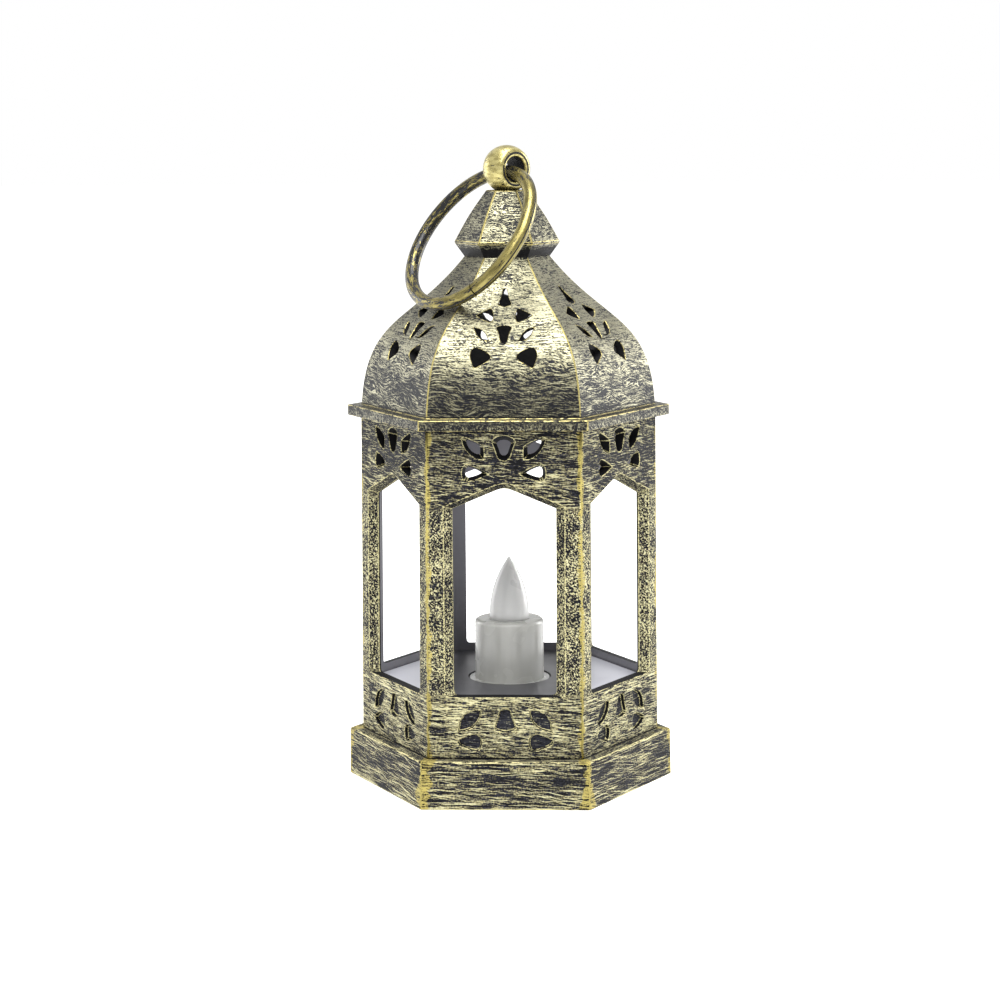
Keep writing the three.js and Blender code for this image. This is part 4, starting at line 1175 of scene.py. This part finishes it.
ring_pivot = eye_middle - RING_DROP
ring_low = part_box("carry_ring")[0][2] / MM
ring_lean = math.asin((ring_pivot - ring_low - WIRE_RADIUS) / (2 * RING_RADIUS))
print("the ring leans", round(math.degrees(ring_lean), 1), "degrees")

ring_frame = (
    Matrix.Translation((0, 0, ring_pivot)) @ Matrix.Rotation(RING_ANGLE, 4, "Z")
    @ Matrix.Rotation(ring_lean, 4, "X") @ Matrix.Translation((0, -RING_RADIUS, 0))
)


def ring_place(tree):
    """How far along the wire, how far out and how far up a point lies, from the ring's own centre.

    The second value makes the streaks rarer on one side of the ring.
    """
    middle, turn, _ = ring_frame.decompose()
    settings = {"Vector": object_place(tree), "Location": middle, "Rotation": turn.to_euler()}
    x, y, z = split(add(tree, "ShaderNodeMapping", settings, vector_type="TEXTURE").outputs[0])
    along = times(calculate("ARCTAN2", x, times(y, -1.0)), RING_RADIUS)
    return merged(along, minus(length_of(x, y), RING_RADIUS), z), times(x, SIDE_CHANGE / RING_RADIUS)


def parting_line(place):
    return ramp(size_of(split(place)[2]), *PARTING)


ring_gold = gold_plastic("ring_gold", ring_place, (0.4, 2.0, 2.0), 0.47, RING_GOLDS, parting_line)


def model_ring():
    half, depth = GROOVE
    start = math.asin(half / WIRE_RADIUS)
    rising = [start + (math.pi / 2 - start) * i / WIRE_POINTS for i in range(WIRE_POINTS + 1)]
    angles = rising + [math.pi - a for a in reversed(rising[:-1])]
    upper = [(WIRE_RADIUS * math.cos(a), WIRE_RADIUS * math.sin(a)) for a in angles]
    lower = [(x, -z) for x, z in reversed(upper)]
    outline = [(WIRE_RADIUS - depth, 0), *upper, (depth - WIRE_RADIUS, 0), *lower]
    bm = bmesh.new()
    verts = [bm.verts.new((RING_RADIUS + x, 0, z)) for x, z in outline]
    edges = [bm.edges.new(pair) for pair in zip(verts, verts[1:] + verts[:1])]
    gap = RING_SPLIT / RING_RADIUS
    spun = bmesh.ops.spin(
        bm, geom=verts + edges, cent=(0, 0, 0), axis=(0, 0, 1), angle=math.tau - gap, steps=RING_STEPS
    )
    ends = edges + [e for e in spun["geom_last"] if isinstance(e, bmesh.types.BMEdge)]
    bmesh.ops.holes_fill(bm, edges=ends)
    bmesh.ops.recalc_face_normals(bm, faces=bm.faces)
    open_at = -math.pi / 2 + SPLIT_PLACE + gap / 2
    bmesh.ops.transform(bm, matrix=ring_frame @ Matrix.Rotation(open_at, 4, "Z"), verts=bm.verts)
    finished(bm, "ring_moulding", "carry_ring", "ring", [ring_gold], hard=35)


model_ring()

# %% [markdown]
# ## Floor, candle and flame
#
# Behind the sills lies a smooth grey floor on three legs, with a round hole for the candle. The
# candle and its flame are hollow translucent mouldings. All of them are round or hexagonal, so each is
# a spun profile, and only the floor needs joining and cutting.

# %% Floor plate
FLOOR_THICK = 1.5
FLOOR_GAP = 0.5
FLOOR_HOLE = 8.43
LEG_RADIUS = 2.2
PILOT = (1.3, 13.3)  # a leg's screw hole: its radius and its top
# the plate's pale sides are a painted reflection
PAINTED_SHEEN = (11.0, 17.0)  # from where to where the plate turns pale, to either side

floor_foot = floor_top - FLOOR_THICK


def plate_grey():
    """Smooth grey plastic, dark round the candle, with a painted reflection that makes it paler towards the
    two side corners.
    """
    material, tree, shader = paint("plate_grey")
    place = object_place(tree)
    slow = noise(place, scale=0.08)
    # painted reflection: the plate turns pale towards the two side corners
    pale = ramp(centred(slow, 4.0, size_of(split(place)[0])), *PAINTED_SHEEN)
    fill(shader, {
        "Base Color": mixed(pale, srgb(66, 66, 70), srgb(200, 201, 210)), "IOR": 1.55,
        "Roughness": ramp(slow, 0.3, 0.7, 0.33, 0.43),
    })
    return material


floor_grey = plate_grey()


def model_floor():
    corner = body_corner(floor_top) - BODY_WALL / FLAT - FLOOR_GAP
    bm = turned([(0, floor_foot), (corner, floor_foot), (corner, floor_top), (0, floor_top)], SIDES)
    angles = [math.pi + k * math.tau / 3 for k in range(3)]
    for angle in angles:
        leg = rod(LEG_RADIUS, deck, floor_top - FLOOR_THICK / 2, distance=LEG_PLACE, angle=angle)
        bm = combined(bm, leg, "UNION")
    holes = [rod(PILOT[0], deck - PAST, PILOT[1], distance=LEG_PLACE, angle=angle) for angle in angles]
    holes.append(rod(FLOOR_HOLE, floor_foot - PAST, floor_top + PAST, steps=96))
    bm = combined(bm, joined(holes), "DIFFERENCE")
    finished(bm, "floor_moulding", "floor_plate", "lantern", [floor_grey], hard=35)


model_floor()

# %% Candle and flame
CANDLE_RADIUS = 6.98
CANDLE_EDGE = 0.8
CANDLE_WALL = 1.2
SHOULDER_RADIUS = 8.13
SHOULDER_DROP = 0.2
BARREL_RADIUS = 9.6
BOARD_TOP = 9.0
FLAME_RADIUS = 4.05
FLAME_HEIGHT = 12.8
FLAME_WALL = 0.9
FLAME_PLUG = 1.6
PLUG_PLAY = 0.3
FLAME_BELLY = 0.42
FLAME_TAPER = (0.62, 0.72)
FLAME_STEPS = 24
CLOUD = 6  # the size of a cloud in the plastic, in millimetres


def milky(name, colour, rough, streak, clear, painted_glow):
    """Translucent moulded plastic with faint upright bands; the last value is a faint light given off, a
    painted light, as the plastic is no lamp.
    """
    material, tree, shader = paint(name)
    place = object_place(tree)
    bands = noise(stretched(place, (0.9, 0.9, 0.06)))
    cloud = noise(place, scale=1 / CLOUD)
    fill(shader, {
        "Base Color": mixed(bands, darker(colour, 1 - streak), colour),
        "Roughness": ramp(cloud, 0.3, 0.7, rough - 0.05, rough + 0.05), "Transmission Weight": clear,
        "Subsurface Weight": 0.9, "Subsurface Radius": (1.0, 1.0, 0.95), "Subsurface Scale": 4 * MM,
        "IOR": 1.5, "Emission Color": (1, 1, 1, 1), "Emission Strength": painted_glow,
    })
    return material


candle_milk = milky("candle_milk", (0.54, 0.54, 0.505, 1.0), rough=0.25, streak=0.14, clear=0.0, painted_glow=0.0)
# the flame gives off a faint painted light, though the candle is not lit
flame_milk = milky("flame_milk", (0.83, 0.83, 0.785, 1.0), rough=0.3, streak=0.05, clear=0.05, painted_glow=0.03)


def model_candle():
    inner = CANDLE_RADIUS - CANDLE_WALL
    plug = FLAME_RADIUS - FLAME_WALL / 2 + PLUG_PLAY
    rounding = quarter(CANDLE_RADIUS, candle_top, -CANDLE_EDGE, CANDLE_EDGE, 6)
    wall_foot = floor_foot - CANDLE_WALL
    bm = turned([
        (BARREL_RADIUS - CANDLE_WALL, BOARD_TOP), (BARREL_RADIUS, BOARD_TOP), (BARREL_RADIUS, floor_foot),
        (SHOULDER_RADIUS, floor_foot), (SHOULDER_RADIUS, floor_top - SHOULDER_DROP),
        (CANDLE_RADIUS, floor_top - SHOULDER_DROP), *rounding, (plug, candle_top),
        (plug, candle_top - CANDLE_WALL), (inner, candle_top - CANDLE_WALL), (inner, wall_foot),
        (BARREL_RADIUS - CANDLE_WALL, wall_foot),
    ], 96)
    finished(bm, "candle_moulding", "candle_shell", "lantern", [candle_milk], hard=40)


def flame_side(radius, height):
    side = curve(
        (radius, 0), (radius, height * FLAME_BELLY), (radius * FLAME_TAPER[0], height * FLAME_TAPER[1]),
        (0, height), FLAME_STEPS,
    )
    return [(r, candle_top + z) for r, z in side]


def model_flame():
    plug = FLAME_RADIUS - FLAME_WALL / 2
    inner = flame_side(FLAME_RADIUS - FLAME_WALL, FLAME_HEIGHT - 2 * FLAME_WALL)
    bm = turned([
        (FLAME_RADIUS - FLAME_WALL, candle_top - FLAME_PLUG), (plug, candle_top - FLAME_PLUG),
        (plug, candle_top), *flame_side(FLAME_RADIUS, FLAME_HEIGHT), *reversed(inner),
    ], 72)
    finished(bm, "flame_moulding", "candle_flame", "lantern", [flame_milk], hard=40)


model_candle()
model_flame()

# %% [markdown]
# ## The parts inside and underneath
#
# The electronics and the underside are right as the frame has them, so they keep their own meshes and
# only get a finish each, chosen by the material slot that the record gives to their node.

# %% Finishes for the other parts
slot_finish = {
    "brushed_gold": plinth_finish, "ring_gold": ring_gold, "grey_plastic": bare_grey,
    "milky_plastic": candle_milk, "clear_plastic": clear_resin, "black_plastic": black_plastic,
    "steel": steel, "board": board_green,
}
for row in frame["record"]["subparts"]:
    mesh = frame["nodes"][row["node"]].data
    mesh.materials.clear()
    mesh.materials.append(slot_finish[row["material_slot"]])
print("finishes given to", len(frame["nodes"]), "nodes")

# %% [markdown]
# ## Floor, backdrop and light
#
# The lantern stands on white. The floor and the world are white only where the camera, a reflection or
# clear plastic looks at them, so the background needs no strong lamp; the floor still darkens a little
# in the lantern's shadow. One large soft lamp hangs above and in front, and two dim ones stand low at
# the back right and the back left.

# %% Floor
def looked_at(tree):
    rays = add(tree, "ShaderNodeLightPath").outputs
    return highest(*[rays[f"Is {kind} Ray"] for kind in ("Camera", "Glossy", "Transmission")])


def make_floor():
    bm = bmesh.new()
    bmesh.ops.create_grid(bm, x_segments=1, y_segments=1, size=4)
    floor = as_object(bm, "floor")
    material, tree, shader = paint("floor_white")
    tree.nodes.remove(shader)
    matte = add(tree, "ShaderNodeBsdfDiffuse", {"Color": (0.82, 0.82, 0.82, 1)}).outputs[0]
    lift = add(tree, "ShaderNodeEmission", {"Color": (1, 1, 1, 1), "Strength": 0.8}).outputs[0]
    both = add(tree, "ShaderNodeAddShader", {0: matte, 1: lift}).outputs[0]
    final = add(tree, "ShaderNodeMixShader", {0: looked_at(tree), 1: matte, 2: both}).outputs[0]
    fill(tree.nodes["Material Output"], {"Surface": final})
    floor.data.materials.append(material)
    print("floor of", round(floor.dimensions.x), "metres")


make_floor()

# %% World
AMBIENT = 0.36


def make_world():
    world = bpy.data.worlds.new("studio")
    world.use_nodes = True
    tree = world.node_tree
    white = ramp(looked_at(tree), 0, 1, AMBIENT, 1.0)
    fill(tree.nodes["Background"], {"Strength": white, "Color": (1, 1, 1, 1)})
    bpy.context.scene.world = world
    print("world lights at", AMBIENT)


make_world()

# %% Lamps
AIM = Vector((0, 0, AIM_HEIGHT * MM))


def softbox(name, azimuth, elevation, distance, width, height, watts):
    """A soft lamp seen from the lantern at these angles; azimuth 0 is the front, 90 the right."""
    a, e = math.radians(azimuth), math.radians(elevation)
    way = Vector((math.sin(a) * math.cos(e), -math.cos(a) * math.cos(e), math.sin(e)))
    data = bpy.data.lights.new(name, "AREA")
    data.shape = "RECTANGLE"
    data.size = width
    data.size_y = height
    data.energy = watts
    lamp = bpy.data.objects.new(name, data)
    turn = way.to_track_quat("Z", "Y").to_matrix().to_4x4()
    lamp.matrix_world = Matrix.Translation(AIM + way * distance) @ turn
    bpy.context.collection.objects.link(lamp)
    print(name, "lamp,", watts, "W")


softbox("front_top", 5, 70, 0.7, 0.4, 0.8, 12)
softbox("right_side", 120, 9, 0.7, 0.35, 0.4, 3.3)
softbox("left_side", -120, 9, 0.7, 0.35, 0.4, 1.6)
